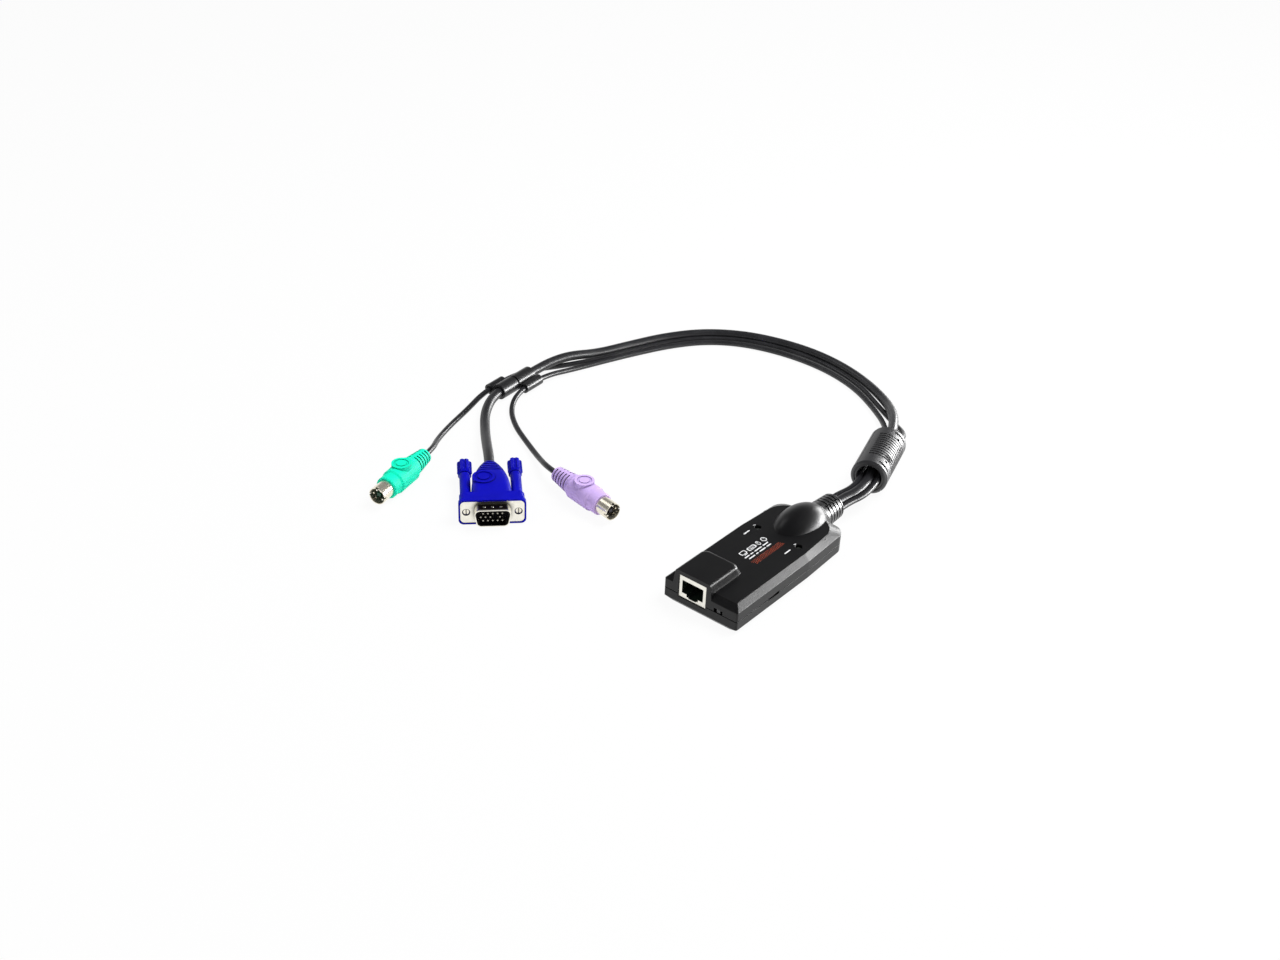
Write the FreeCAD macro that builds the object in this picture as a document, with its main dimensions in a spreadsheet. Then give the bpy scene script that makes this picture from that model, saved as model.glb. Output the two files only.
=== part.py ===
import FreeCAD
import Part
import Sketcher

import math
import os

from FreeCAD import Placement, Rotation, Vector

# A keyboard, video and mouse adapter module with its three cords and plugs, in millimetres.
# +Z is up and the module stands on z = 0. The network jack faces -Y and the cords leave at +Y.
# The origin is under the middle of the box of the module and its strain relief.

SHEET_NAME = "Sizes"
X_AXIS = Vector(1, 0, 0)
Y_AXIS = Vector(0, 1, 0)
Z_AXIS = Vector(0, 0, 1)

doc = FreeCAD.newDocument("kvm_adapter")
sheet = doc.addObject("Spreadsheet::Sheet", SHEET_NAME)
sheet_rows = []
parts = []


class Size:
    """A number with the spreadsheet expression that gives it."""

    def __init__(self, value, text):
        self.value = float(value)
        self.text = text

    def __add__(self, other):
        other = as_size(other)
        return Size(self.value + other.value, f"({self.text} + {other.text})")

    def __sub__(self, other):
        other = as_size(other)
        return Size(self.value - other.value, f"({self.text} - {other.text})")

    def __mul__(self, other):
        other = as_size(other)
        return Size(self.value * other.value, f"({self.text} * {other.text})")

    def __truediv__(self, other):
        other = as_size(other)
        return Size(self.value / other.value, f"({self.text} / {other.text})")

    def __neg__(self):
        return Size(-self.value, f"(0 - {self.text})")

    def __radd__(self, other):
        return as_size(other) + self

    def __rsub__(self, other):
        return as_size(other) - self

    def __rmul__(self, other):
        return as_size(other) * self

    def __float__(self):
        return self.value


def as_size(number):
    """Gives a plain number the same form as a cell of the sheet."""
    if isinstance(number, Size):
        return number
    return Size(number, f"({float(number):.6f})")


def cell(alias, value):
    """Writes one driving dimension to the sheet and returns it."""
    row = len(sheet_rows) + 1
    sheet_rows.append(alias)
    sheet.set(f"A{row}", alias)
    sheet.set(f"B{row}", str(value))
    sheet.setAlias(f"B{row}", alias)
    return Size(value, f"{SHEET_NAME}.{alias}")


# ---------------------------------------------------------------------------
# Driving dimensions
# ---------------------------------------------------------------------------

# Housing of the module
shell_width = cell("shell_width", 41.0)
shell_length = cell("shell_length", 88.0)
relief_reach = cell("relief_reach", 17.0)
seam_height = cell("seam_height", 6.0)
shoulder_height = cell("shoulder_height", 10.9)
deck_height = cell("deck_height", 14.0)
bevel_side = cell("bevel_side", 2.7)
bevel_front = cell("bevel_front", 2.5)
bevel_rear = cell("bevel_rear", 3.0)
foot_front_inset = cell("foot_front_inset", 1.2)
foot_inset = cell("foot_inset", 3.6)
foot_height = cell("foot_height", 1.7)
rear_taper = cell("rear_taper", 1.2)
taper_length = cell("taper_length", 33.0)
front_radius = cell("front_radius", 0.9)
rear_radius = cell("rear_radius", 7.0)
deck_radius = cell("deck_radius", 12.0)
shell_wall = cell("shell_wall", 1.6)
seam_groove_depth = cell("seam_groove_depth", 0.5)
seam_groove_height = cell("seam_groove_height", 0.4)
notch_start = cell("notch_start", 23.5)
notch_length = cell("notch_length", 8.5)
notch_height = cell("notch_height", 1.7)
notch_depth = cell("notch_depth", 1.1)

# Raised hood over the jack
jack_offset = cell("jack_offset", -4.8)
hump_height = cell("hump_height", 19.0)
hump_top_width = cell("hump_top_width", 19.4)
hump_foot_width = cell("hump_foot_width", 20.8)
hump_top_length = cell("hump_top_length", 21.0)
hump_foot_length = cell("hump_foot_length", 23.6)
hump_edge = cell("hump_edge", 1.2)
hump_corner = cell("hump_corner", 3.0)
EDGE_STEPS = (0, 35, 65, 90)
hood_root = cell("hood_root", 1.0)

# Fairing over the cord entry
entry_height = cell("entry_height", 8.4)
fairing_radius = cell("fairing_radius", 11.7)
fairing_nose_reach = cell("fairing_nose_reach", 20.0)
fairing_tail_reach = cell("fairing_tail_reach", 17.5)
fairing_crest = cell("fairing_crest", 77.5)
neck_length = cell("neck_length", 3.0)
neck_radius = cell("neck_radius", 7.5)
neck_bore_radius = cell("neck_bore_radius", 5.6)

# Circuit board and what stands on it
board_thickness = cell("board_thickness", 1.6)
board_bottom = cell("board_bottom", 3.3)
board_clearance = cell("board_clearance", 0.5)
board_length = cell("board_length", 76.0)
post_radius = cell("post_radius", 3.2)
post_inset = cell("post_inset", 3.6)
post_from_front = cell("post_from_front", 9.0)
post_from_rear = cell("post_from_rear", 4.0)
boss_radius = cell("boss_radius", 2.5)
screw_radius = cell("screw_radius", 1.1)
screw_head_radius = cell("screw_head_radius", 2.0)
screw_head_height = cell("screw_head_height", 1.0)
screw_head_recess = cell("screw_head_recess", 0.3)
screw_reach = cell("screw_reach", 9.5)
screw_pilot_depth = cell("screw_pilot_depth", 1.2)
screw_cross_length = cell("screw_cross_length", 2.2)
screw_cross_width = cell("screw_cross_width", 0.5)
fit_gap = cell("fit_gap", 0.2)
main_chip_side = cell("main_chip_side", 14.0)
main_chip_height = cell("main_chip_height", 1.4)
main_chip_x = cell("main_chip_x", 1.0)
main_chip_y = cell("main_chip_y", -11.0)
video_chip_side = cell("video_chip_side", 9.0)
video_chip_height = cell("video_chip_height", 1.0)
video_chip_x = cell("video_chip_x", -12.0)
video_chip_y = cell("video_chip_y", -6.0)
crystal_length = cell("crystal_length", 11.0)
crystal_width = cell("crystal_width", 4.6)
crystal_height = cell("crystal_height", 3.5)
crystal_x = cell("crystal_x", 13.0)
crystal_y = cell("crystal_y", -28.0)
transformer_length = cell("transformer_length", 15.5)
transformer_width = cell("transformer_width", 8.5)
transformer_height = cell("transformer_height", 5.5)
transformer_y = cell("transformer_y", -28.5)
component_radius = cell("component_radius", 0.4)
header_length = cell("header_length", 9.0)
header_width = cell("header_width", 4.2)
header_height = cell("header_height", 5.0)
header_pitch = cell("header_pitch", 10.6)
header_y = cell("header_y", 11.5)
header_wall = cell("header_wall", 0.6)
capacitor_radius = cell("capacitor_radius", 2.5)
capacitor_height = cell("capacitor_height", 5.4)
capacitor_x = cell("capacitor_x", 13.5)
capacitor_y = cell("capacitor_y", -16.0)
capacitor_pitch = cell("capacitor_pitch", 6.0)
capacitor_count = 3

# Network jack
jack_width = cell("jack_width", 15.0)
jack_height = cell("jack_height", 11.6)
jack_depth = cell("jack_depth", 17.0)
jack_recess = cell("jack_recess", 0.4)
shield_sheet = cell("shield_sheet", 0.35)
cavity_width = cell("cavity_width", 11.8)
cavity_height = cell("cavity_height", 6.8)
cavity_bottom = cell("cavity_bottom", 2.5)
cavity_depth = cell("cavity_depth", 13.0)
latch_width = cell("latch_width", 6.4)
latch_height = cell("latch_height", 1.3)
tongue_width = cell("tongue_width", 4.2)
contact_pitch = cell("contact_pitch", 1.02)
contact_side = cell("contact_side", 0.42)
contact_start = cell("contact_start", 2.2)
contact_drop = cell("contact_drop", 2.4)
contact_count = 8

# Recovery switch
switch_x = cell("switch_x", 10.1)
switch_slot_width = cell("switch_slot_width", 4.8)
switch_slot_height = cell("switch_slot_height", 2.3)
switch_body_width = cell("switch_body_width", 8.6)
switch_body_depth = cell("switch_body_depth", 3.6)
switch_body_height = cell("switch_body_height", 4.2)
knob_width = cell("knob_width", 1.8)
knob_height = cell("knob_height", 1.6)
knob_recess = cell("knob_recess", 0.3)
knob_travel = cell("knob_travel", 1.2)
slider_width = cell("slider_width", 3.6)
slider_height = cell("slider_height", 2.0)
slider_depth = cell("slider_depth", 1.2)
slider_gap = cell("slider_gap", 0.3)

# Indicator lamps
lamp_front = cell("lamp_front", 57.8)
online_lamp_x = cell("online_lamp_x", -11.0)
power_lamp_x = cell("power_lamp_x", 12.4)
lamp_hole_radius = cell("lamp_hole_radius", 1.7)
lamp_radius = cell("lamp_radius", 1.5)
lamp_recess = cell("lamp_recess", 0.9)
lamp_length = cell("lamp_length", 5.0)
lamp_rim_radius = cell("lamp_rim_radius", 1.8)
lamp_rim_height = cell("lamp_rim_height", 0.8)
lamp_leg_side = cell("lamp_leg_side", 0.5)
lamp_leg_pitch = cell("lamp_leg_pitch", 1.6)

# Strain relief
relief_radius = cell("relief_radius", 7.3)
relief_tip_radius = cell("relief_tip_radius", 6.6)
relief_core_radius = cell("relief_core_radius", 5.0)
relief_slot_width = cell("relief_slot_width", 0.9)
relief_slot_pitch = cell("relief_slot_pitch", 1.25)
relief_slot_start = cell("relief_slot_start", 2.2)
relief_bridge_width = cell("relief_bridge_width", 5.2)
relief_overlap = cell("relief_overlap", 0.7)
relief_stem_radius = cell("relief_stem_radius", 5.4)
relief_flange_radius = cell("relief_flange_radius", 6.5)
relief_flange_length = cell("relief_flange_length", 1.5)
relief_edge_radius = cell("relief_edge_radius", 0.8)
relief_slot_count = 9

# Cords
video_diameter = cell("video_diameter", 5.2)
thin_diameter = cell("thin_diameter", 2.9)

# Ferrite filter
ferrite_radius = cell("ferrite_radius", 9.4)
ferrite_length = cell("ferrite_length", 38.0)
ferrite_bore_radius = cell("ferrite_bore_radius", 6.5)
ferrite_end_wall = cell("ferrite_end_wall", 3.0)
ferrite_lip_radius = cell("ferrite_lip_radius", 7.7)
ferrite_lip_depth = cell("ferrite_lip_depth", 0.6)
ferrite_chamfer = cell("ferrite_chamfer", 0.9)
ferrite_core_gap = cell("ferrite_core_gap", 0.1)
ferrite_rib_start = cell("ferrite_rib_start", 8.6)
ferrite_rib_pitch = cell("ferrite_rib_pitch", 2.1)
ferrite_rib_width = cell("ferrite_rib_width", 0.8)
ferrite_rib_depth = cell("ferrite_rib_depth", 0.45)
ferrite_slot_width = cell("ferrite_slot_width", 1.5)
ferrite_slot_from_end = cell("ferrite_slot_from_end", 2.6)
ferrite_window_from_end = cell("ferrite_window_from_end", 6.4)
ferrite_core_radius = cell("ferrite_core_radius", 8.0)
ferrite_roll = cell("ferrite_roll", 43.0)
ferrite_rib_half_width = cell("ferrite_rib_half_width", 8.4)
ferrite_slot_half_width = cell("ferrite_slot_half_width", 3.4)
ferrite_rib_count = 11

# Cord clip
clip_radius = cell("clip_radius", 4.35)
clip_small_radius = cell("clip_small_radius", 2.9)
clip_side_pitch = cell("clip_side_pitch", 6.9)
clip_front_length = cell("clip_front_length", 11.6)
clip_rear_length = cell("clip_rear_length", 13.2)
clip_gap = cell("clip_gap", 1.2)
clip_waist_radius = cell("clip_waist_radius", 3.7)
clip_small_lift = cell("clip_small_lift", 0.6)
clip_web = cell("clip_web", 3.0)
clip_clearance = cell("clip_clearance", 0.35)

# Video plug
vga_flange_width = cell("vga_flange_width", 32.4)
vga_flange_height = cell("vga_flange_height", 13.6)
vga_flange_depth = cell("vga_flange_depth", 8.5)
vga_flange_radius = cell("vga_flange_radius", 2.6)
vga_rim_depth = cell("vga_rim_depth", 2.6)
vga_rim_step = cell("vga_rim_step", 0.5)
vga_plate_width = cell("vga_plate_width", 30.6)
vga_plate_height = cell("vga_plate_height", 11.7)
vga_plate_radius = cell("vga_plate_radius", 2.2)
vga_plate_sheet = cell("vga_plate_sheet", 0.8)
vga_plate_setback = cell("vga_plate_setback", 0.2)
vga_plate_gap = cell("vga_plate_gap", 0.1)
vga_shell_width = cell("vga_shell_width", 18.3)
vga_shell_height = cell("vga_shell_height", 9.3)
vga_shell_reach = cell("vga_shell_reach", 6.0)
vga_shell_sheet = cell("vga_shell_sheet", 0.45)
vga_shell_radius = cell("vga_shell_radius", 2.6)
vga_shell_slant = cell("vga_shell_slant", 1.6)
vga_dimple_radius = cell("vga_dimple_radius", 0.75)
vga_dimple_pitch = cell("vga_dimple_pitch", 3.9)
vga_pin_radius = cell("vga_pin_radius", 0.38)
vga_pin_pitch = cell("vga_pin_pitch", 2.29)
vga_row_pitch = cell("vga_row_pitch", 1.98)
vga_pin_recess = cell("vga_pin_recess", 1.4)
vga_insulator_depth = cell("vga_insulator_depth", 6.0)
vga_hood_length = cell("vga_hood_length", 40.0)
pad_ring_outer = cell("pad_ring_outer", 0.76)
pad_ring_inner = cell("pad_ring_inner", 0.5)
vga_hood_width = cell("vga_hood_width", 19.2)
vga_hood_height = cell("vga_hood_height", 12.6)
vga_tail_width = cell("vga_tail_width", 8.4)
vga_tail_height = cell("vga_tail_height", 8.2)
vga_hood_radius = cell("vga_hood_radius", 3.6)
vga_hood_straight = cell("vga_hood_straight", 16.0)
vga_hood_shoulder = cell("vga_hood_shoulder", 24.8)
vga_shoulder_width = cell("vga_shoulder_width", 17.3)
vga_shoulder_height = cell("vga_shoulder_height", 12.0)
vga_hood_neck = cell("vga_hood_neck", 32.8)
vga_rib_margin = cell("vga_rib_margin", 1.8)
vga_rib_pitch = cell("vga_rib_pitch", 2.2)
vga_rib_width = cell("vga_rib_width", 0.9)
vga_rib_depth = cell("vga_rib_depth", 0.8)
vga_pad_x = cell("vga_pad_x", -3.5)
vga_pad_y = cell("vga_pad_y", 21.5)
vga_pad_radius = cell("vga_pad_radius", 5.6)
vga_pad_rise = cell("vga_pad_rise", 0.5)
vga_pad_groove = cell("vga_pad_groove", 0.35)
vga_screw_hole_radius = cell("vga_screw_hole_radius", 1.95)
vga_screw_tip = cell("vga_screw_tip", 0.7)
vga_screw_end = cell("vga_screw_end", 16.0)
vga_slot_width = cell("vga_slot_width", 0.6)
knob_end_gap = cell("knob_end_gap", 0.3)
knob_groove_depth = cell("knob_groove_depth", 0.5)
knob_groove_width = cell("knob_groove_width", 0.7)
vga_screw_pitch = cell("vga_screw_pitch", 24.99)
vga_screw_radius = cell("vga_screw_radius", 1.42)
vga_shank_radius = cell("vga_shank_radius", 2.7)
vga_head_radius = cell("vga_head_radius", 3.7)
vga_knob_start = cell("vga_knob_start", 4.5)
vga_head_start = cell("vga_head_start", 32.5)
vga_knob_end = cell("vga_knob_end", 44.0)
vga_flute_radius = cell("vga_flute_radius", 1.0)
running_gap = cell("running_gap", 0.06)
vga_flute_count = 7
VGA_PIN_ROWS = ((1, 0, (0, 1, 2, 3, 4)), (0, -1 / 2, (0, 1, 2, 4)), (-1, 0, (0, 1, 2, 3, 4)))
vga_rib_count = 5

# Keyboard and mouse plugs
din_shell_radius = cell("din_shell_radius", 4.475)
din_shell_sheet = cell("din_shell_sheet", 0.4)
din_shell_reach = cell("din_shell_reach", 8.0)
din_shell_root = cell("din_shell_root", 3.0)
din_neck_radius = cell("din_neck_radius", 4.25)
din_neck_length = cell("din_neck_length", 0.2)
din_insulator_recess = cell("din_insulator_recess", 5.0)
din_pin_radius = cell("din_pin_radius", 0.45)
din_pin_recess = cell("din_pin_recess", 1.6)
din_pin_circle = cell("din_pin_circle", 3.1)
din_notch_width = cell("din_notch_width", 1.4)
din_notch_length = cell("din_notch_length", 1.3)
din_key_width = cell("din_key_width", 2.0)
din_key_height = cell("din_key_height", 1.7)
din_collar_radius = cell("din_collar_radius", 5.7)
din_grip_radius = cell("din_grip_radius", 6.4)
din_grip_start = cell("din_grip_start", 14.0)
din_grip_end = cell("din_grip_end", 28.5)
din_tail_radius = cell("din_tail_radius", 3.9)
din_waist_radius = cell("din_waist_radius", 5.4)
din_edge = cell("din_edge", 0.5)
din_plug_length = cell("din_plug_length", 43.0)
din_pad_radius = cell("din_pad_radius", 4.9)
din_pad_centre = cell("din_pad_centre", 22.0)
din_pad_rise = cell("din_pad_rise", 0.7)
din_pad_groove = cell("din_pad_groove", 0.35)
din_rib_pitch = cell("din_rib_pitch", 2.3)
din_rib_width = cell("din_rib_width", 0.9)
din_rib_depth = cell("din_rib_depth", 1.1)
din_rib_margin = cell("din_rib_margin", 3.2)
din_bridge_width = cell("din_bridge_width", 1.8)
keyboard_roll = cell("keyboard_roll", 0.0)
mouse_roll = cell("mouse_roll", 0.0)
din_rib_count = 5
DIN_PIN_PLACES = ((-0.35, 0.72), (0.35, 0.72), (-0.95, 0.05), (0.95, 0.05), (-0.62, -0.72), (0.62, -0.72))

# Where the loose pieces lie, each on the same surface as the module
ferrite_pose = (cell("ferrite_x", -0.4), cell("ferrite_y", 84.5), ferrite_radius, cell("ferrite_turn", 17.5))
clip_pose = (cell("clip_x", -199.5), cell("clip_y", 27.7), clip_radius, cell("clip_turn", 4.2))
vga_pose = (cell("vga_x", -118.4), cell("vga_y", -62.0), vga_flange_height / 2, cell("vga_turn", 45.8))
mouse_pose = (cell("mouse_x", -168.9), cell("mouse_y", -89.5), din_grip_radius, cell("mouse_turn", 13.9))
keyboard_pose = (cell("keyboard_x", -76.5), cell("keyboard_y", -22.3), din_grip_radius,
                 cell("keyboard_turn", 80.2))

# Lengths that follow from the ones above
overall_length = shell_length + relief_reach
front_y = -(overall_length / 2)
rear_y = front_y + shell_length
exit_y = front_y + overall_length
board_top = board_bottom + board_thickness
deck_underside = deck_height - shell_wall
jack_front = front_y + jack_recess


# ---------------------------------------------------------------------------
# Helpers
# ---------------------------------------------------------------------------

def bind(thing, **cells):
    """Ties properties to expressions; a double underscore stands for a dot."""
    for name, size in cells.items():
        thing.setExpression(name.replace("__", "."), as_size(size).text)


def place(thing, pose):
    """Sets a placement from x, y, z and a turn about Z, each tied to the sheet."""
    x, y, z, turn = pose
    values = [as_size(item) for item in (x, y, z, turn)]
    spot = Vector(values[0].value, values[1].value, values[2].value)
    thing.Placement = Placement(spot, Rotation(Z_AXIS, values[3].value))
    bind(thing, Placement__Base__x=x, Placement__Base__y=y, Placement__Base__z=z)
    thing.setExpression("Placement.Rotation.Angle", values[3].text + " * 1 deg")


def keep(thing, label):
    """Names a finished sub-part, which becomes one file."""
    thing.Label = label
    parts.append(thing)
    return thing


def new_body(label, pose=None):
    """Starts a PartDesign body."""
    body = doc.addObject("PartDesign::Body", label + "_body")
    if pose is not None:
        place(body, pose)
    return keep(body, label)


def origin_plane(body, role):
    """The body's own origin plane of that role."""
    return next(item for item in body.Origin.OriginFeatures if item.Role == role)


def new_sketch(body, name, role, offset=None):
    """A sketch on one of the body's origin planes, moved along its normal by offset."""
    sketch = body.newObject("Sketcher::SketchObject", name)
    sketch.AttachmentSupport = (origin_plane(body, role), [""])
    sketch.MapMode = "FlatFace"
    if offset is not None:
        size = as_size(offset)
        sketch.AttachmentOffset = Placement(Vector(0, 0, size.value), Rotation())
        sketch.setExpression("AttachmentOffset.Base.z", size.text)
    return sketch


def pin_point(sketch, geometry, position, point):
    """Fixes one point of a sketch by its two distances from the origin."""
    for kind, size in zip(("DistanceX", "DistanceY"), point):
        size = as_size(size)
        index = sketch.addConstraint(sketch_constraint(kind, geometry, position, size.value))
        sketch.setExpression(f"Constraints[{index}]", size.text)


def sketch_constraint(kind, geometry, position, value):
    """A distance of one sketch point from the sketch's origin."""
    return Sketcher.Constraint(kind, -1, 1, geometry, position, value)


def draw_polygon(sketch, points):
    """A closed outline of straight lines through the given points."""
    spots = [Vector(as_size(x).value, as_size(y).value, 0) for x, y in points]
    count = len(spots)
    first = sketch.GeometryCount
    for index in range(count):
        sketch.addGeometry(Part.LineSegment(spots[index], spots[(index + 1) % count]), False)
    for index in range(count):
        following = first + (index + 1) % count
        sketch.addConstraint(Sketcher.Constraint("Coincident", first + index, 2, following, 1))
    for index in range(count):
        pin_point(sketch, first + index, 1, points[index])
    return sketch


def draw_rectangle(sketch, left, right, low, high):
    """A rectangle between two pairs of sides."""
    return draw_polygon(sketch, [(left, low), (right, low), (right, high), (left, high)])


def draw_circle(sketch, x, y, radius):
    """A circle with its centre and radius tied to the sheet."""
    radius = as_size(radius)
    centre = Vector(as_size(x).value, as_size(y).value, 0)
    index = sketch.addGeometry(Part.Circle(centre, Z_AXIS, radius.value), False)
    pin_point(sketch, index, 3, (x, y))
    constraint = sketch.addConstraint(Sketcher.Constraint("Radius", index, radius.value))
    sketch.setExpression(f"Constraints[{constraint}]", radius.text)
    return sketch


def pad(body, sketch, length, backward=False, both=False):
    """Adds the sketch's outline, extruded."""
    feature = body.newObject("PartDesign::Pad", sketch.Name + "_pad")
    feature.Profile = sketch
    bind(feature, Length=length)
    feature.Reversed = backward
    feature.Midplane = both
    return feature


def pocket(body, sketch, length, backward=False, both=False):
    """Cuts the sketch's outline, extruded."""
    feature = body.newObject("PartDesign::Pocket", sketch.Name + "_pocket")
    feature.Profile = sketch
    bind(feature, Length=length)
    feature.Reversed = backward
    feature.Midplane = both
    return feature


def revolve(body, sketch, kind="Revolution", angle=360.0):
    """Turns the sketch's outline about the sketch's upright axis."""
    feature = body.newObject("PartDesign::" + kind, sketch.Name + "_turned")
    feature.Profile = sketch
    feature.ReferenceAxis = (sketch, ["V_Axis"])
    feature.Angle = angle
    return feature


def round_edges(body, radius, chosen, kind="Fillet"):
    """Fillets or chamfers the edges for which chosen(edge) is true."""
    doc.recompute()
    base = body.Tip
    names = [f"Edge{number}" for number, edge in enumerate(base.Shape.Edges, 1) if chosen(edge)]
    feature = body.newObject("PartDesign::" + kind, f"{body.Name}_{kind}")
    feature.Base = (base, names)
    bind(feature, **{"Radius" if kind == "Fillet" else "Size": radius})
    return feature


def along(edge, axis):
    """True when an edge is straight and parallel to an axis."""
    straight = edge.Curve.TypeId == "Part::GeomLine"
    return straight and abs(edge.tangentAt(edge.FirstParameter).dot(axis)) > 0.999


def box(name, left, right, front, back, low, high):
    """A Part::Box between three pairs of faces."""
    thing = doc.addObject("Part::Box", name)
    bind(thing, Length=as_size(right) - left, Width=as_size(back) - front, Height=as_size(high) - low)
    bind(thing, Placement__Base__x=left, Placement__Base__y=front, Placement__Base__z=low)
    return thing


def cylinder(name, x, y, low, radius, height):
    """An upright Part::Cylinder."""
    thing = doc.addObject("Part::Cylinder", name)
    bind(thing, Radius=radius, Height=height)
    bind(thing, Placement__Base__x=x, Placement__Base__y=y, Placement__Base__z=low)
    return thing


def level_cylinder(name, x, start, z, radius, length):
    """A Part::Cylinder whose axis runs along +Y from start."""
    thing = doc.addObject("Part::Cylinder", name)
    thing.Placement = Placement(Vector(0, 0, 0), Rotation(X_AXIS, -90))
    bind(thing, Radius=radius, Height=length)
    bind(thing, Placement__Base__x=x, Placement__Base__y=start, Placement__Base__z=z)
    return thing


def fuse(name, things):
    """One Part::MultiFuse of several objects."""
    thing = doc.addObject("Part::MultiFuse", name)
    thing.Shapes = things
    return thing


def common(name, things):
    """What several objects share."""
    thing = doc.addObject("Part::MultiCommon", name)
    thing.Shapes = things
    return thing


def cut(name, base, tool):
    """The base without the tool."""
    thing = doc.addObject("Part::Cut", name)
    thing.Base = base
    thing.Tool = tool
    return thing


def fixed(label, shape, pose=None):
    """A Part::Feature with a shape made in code, placed after its shape is set."""
    thing = doc.addObject("Part::Feature", label + "_feature")
    thing.Shape = shape
    if pose is not None:
        place(thing, pose)
    return thing


# ---------------------------------------------------------------------------
# Housing
# ---------------------------------------------------------------------------

def draw_outline(sketch, pieces):
    """A closed outline of lines and arcs, each starting where the one before it ends."""
    first = sketch.GeometryCount
    count = len(pieces)
    for piece in pieces:
        if piece[0] == "line":
            start, end = piece[1], piece[2]
            spots = [Vector(float(x), float(y), 0) for x, y in (start, end)]
            sketch.addGeometry(Part.LineSegment(*spots), False)
        else:
            centre, radius, start, end = piece[1:]
            circle = Part.Circle(Vector(float(centre[0]), float(centre[1]), 0), Z_AXIS, float(radius))
            arc = Part.ArcOfCircle(circle, math.radians(start), math.radians(end))
            sketch.addGeometry(arc, False)
    for index in range(count):
        following = first + (index + 1) % count
        sketch.addConstraint(Sketcher.Constraint("Coincident", first + index, 2, following, 1))
    for index, piece in enumerate(pieces):
        if piece[0] == "line":
            pin_point(sketch, first + index, 1, piece[1])
            if pieces[(index + 1) % count][0] == "arc":
                pin_point(sketch, first + index, 2, piece[2])
        else:
            radius = as_size(piece[2])
            item = sketch.addConstraint(Sketcher.Constraint("Radius", first + index, radius.value))
            sketch.setExpression(f"Constraints[{item}]", radius.text)
    return sketch


def rounded_rectangle(left, right, low, high, radius):
    """The lines and arcs of a rectangle with four equal corners."""
    return [
        ("line", (left + radius, low), (right - radius, low)),
        ("arc", (right - radius, low + radius), radius, -90, 0),
        ("line", (right, low + radius), (right, high - radius)),
        ("arc", (right - radius, high - radius), radius, 0, 90),
        ("line", (right - radius, high), (left + radius, high)),
        ("arc", (left + radius, high - radius), radius, 90, 180),
        ("line", (left, high - radius), (left, low + radius)),
        ("arc", (left + radius, low + radius), radius, 180, 270),
    ]


def loose_sketch(name, height=None, upright=None):
    """A sketch outside any body, level at a height or upright facing along Y."""
    sketch = doc.addObject("Sketcher::SketchObject", name)
    if upright is not None:
        sketch.Placement = Placement(Vector(0, 0, 0), Rotation(X_AXIS, 90))
        bind(sketch, Placement__Base__y=upright)
    if height is not None:
        bind(sketch, Placement__Base__z=height)
    return sketch


def plan_sketch(name, height, side, front, rear, near_radius, far_radius):
    """The housing's outline seen from above, moved in from its sides, front and rear."""
    half = shell_width / 2 - side
    near = front_y + front
    far = rear_y - rear
    bend = rear_y - taper_length
    slim = half - rear_taper
    sketch = loose_sketch(name, height)
    return draw_outline(sketch, [
        ("line", (-(half - near_radius), near), (half - near_radius, near)),
        ("arc", (half - near_radius, near + near_radius), near_radius, -90, 0),
        ("line", (half, near + near_radius), (half, bend)),
        ("line", (half, bend), (slim, far - far_radius)),
        ("arc", (slim - far_radius, far - far_radius), far_radius, 0, 90),
        ("line", (slim - far_radius, far), (-(slim - far_radius), far)),
        ("arc", (-(slim - far_radius), far - far_radius), far_radius, 90, 180),
        ("line", (-slim, far - far_radius), (-half, bend)),
        ("line", (-half, bend), (-half, near + near_radius)),
        ("arc", (-(half - near_radius), near + near_radius), near_radius, 180, 270),
    ])


def loft(name, sections, ruled):
    """A closed solid through several sections."""
    thing = doc.addObject("Part::Loft", name)
    thing.Sections = sections
    thing.Solid = True
    thing.Ruled = ruled
    return thing


def prism(name, sketch, length):
    """A loose sketch extruded along its normal."""
    thing = doc.addObject("Part::Extrusion", name)
    thing.Base = sketch
    thing.DirMode = "Normal"
    thing.Solid = True
    bind(thing, LengthFwd=length)
    return thing


def housing_block(name, wall):
    """The housing without its hood and fairing, moved in by a wall."""
    wall = as_size(wall)
    low = as_size(0) + wall
    high = deck_height - wall
    near = front_radius
    inner = wall.value > 0
    step = wall if inner else as_size(0)
    sections = [
        plan_sketch(name + "_foot", low, foot_inset + step, foot_front_inset + step,
                    foot_inset + step, near, rear_radius),
        plan_sketch(name + "_skirt", foot_height + step, step, step, step, near, rear_radius),
        plan_sketch(name + "_shoulder", shoulder_height - step / 2, step, step, step, near, rear_radius),
        plan_sketch(name + "_deck", high, bevel_side + step, bevel_front + step, bevel_rear + step,
                    near, deck_radius),
    ]
    return loft(name, sections, True)


def hood_sketch(name, height, half, far, radius, wall):
    """One level outline of the hood, square at its front and rounded at its rear."""
    left = jack_offset - half
    right = jack_offset + half
    near = front_y + wall
    sketch = loose_sketch(name, height)
    return draw_outline(sketch, [
        ("line", (left, near), (right, near)),
        ("line", (right, near), (right, far - radius)),
        ("arc", (right - radius, far - radius), radius, 0, 90),
        ("line", (right - radius, far), (left + radius, far)),
        ("arc", (left + radius, far - radius), radius, 90, 180),
        ("line", (left, far - radius), (left, near)),
    ])


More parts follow.
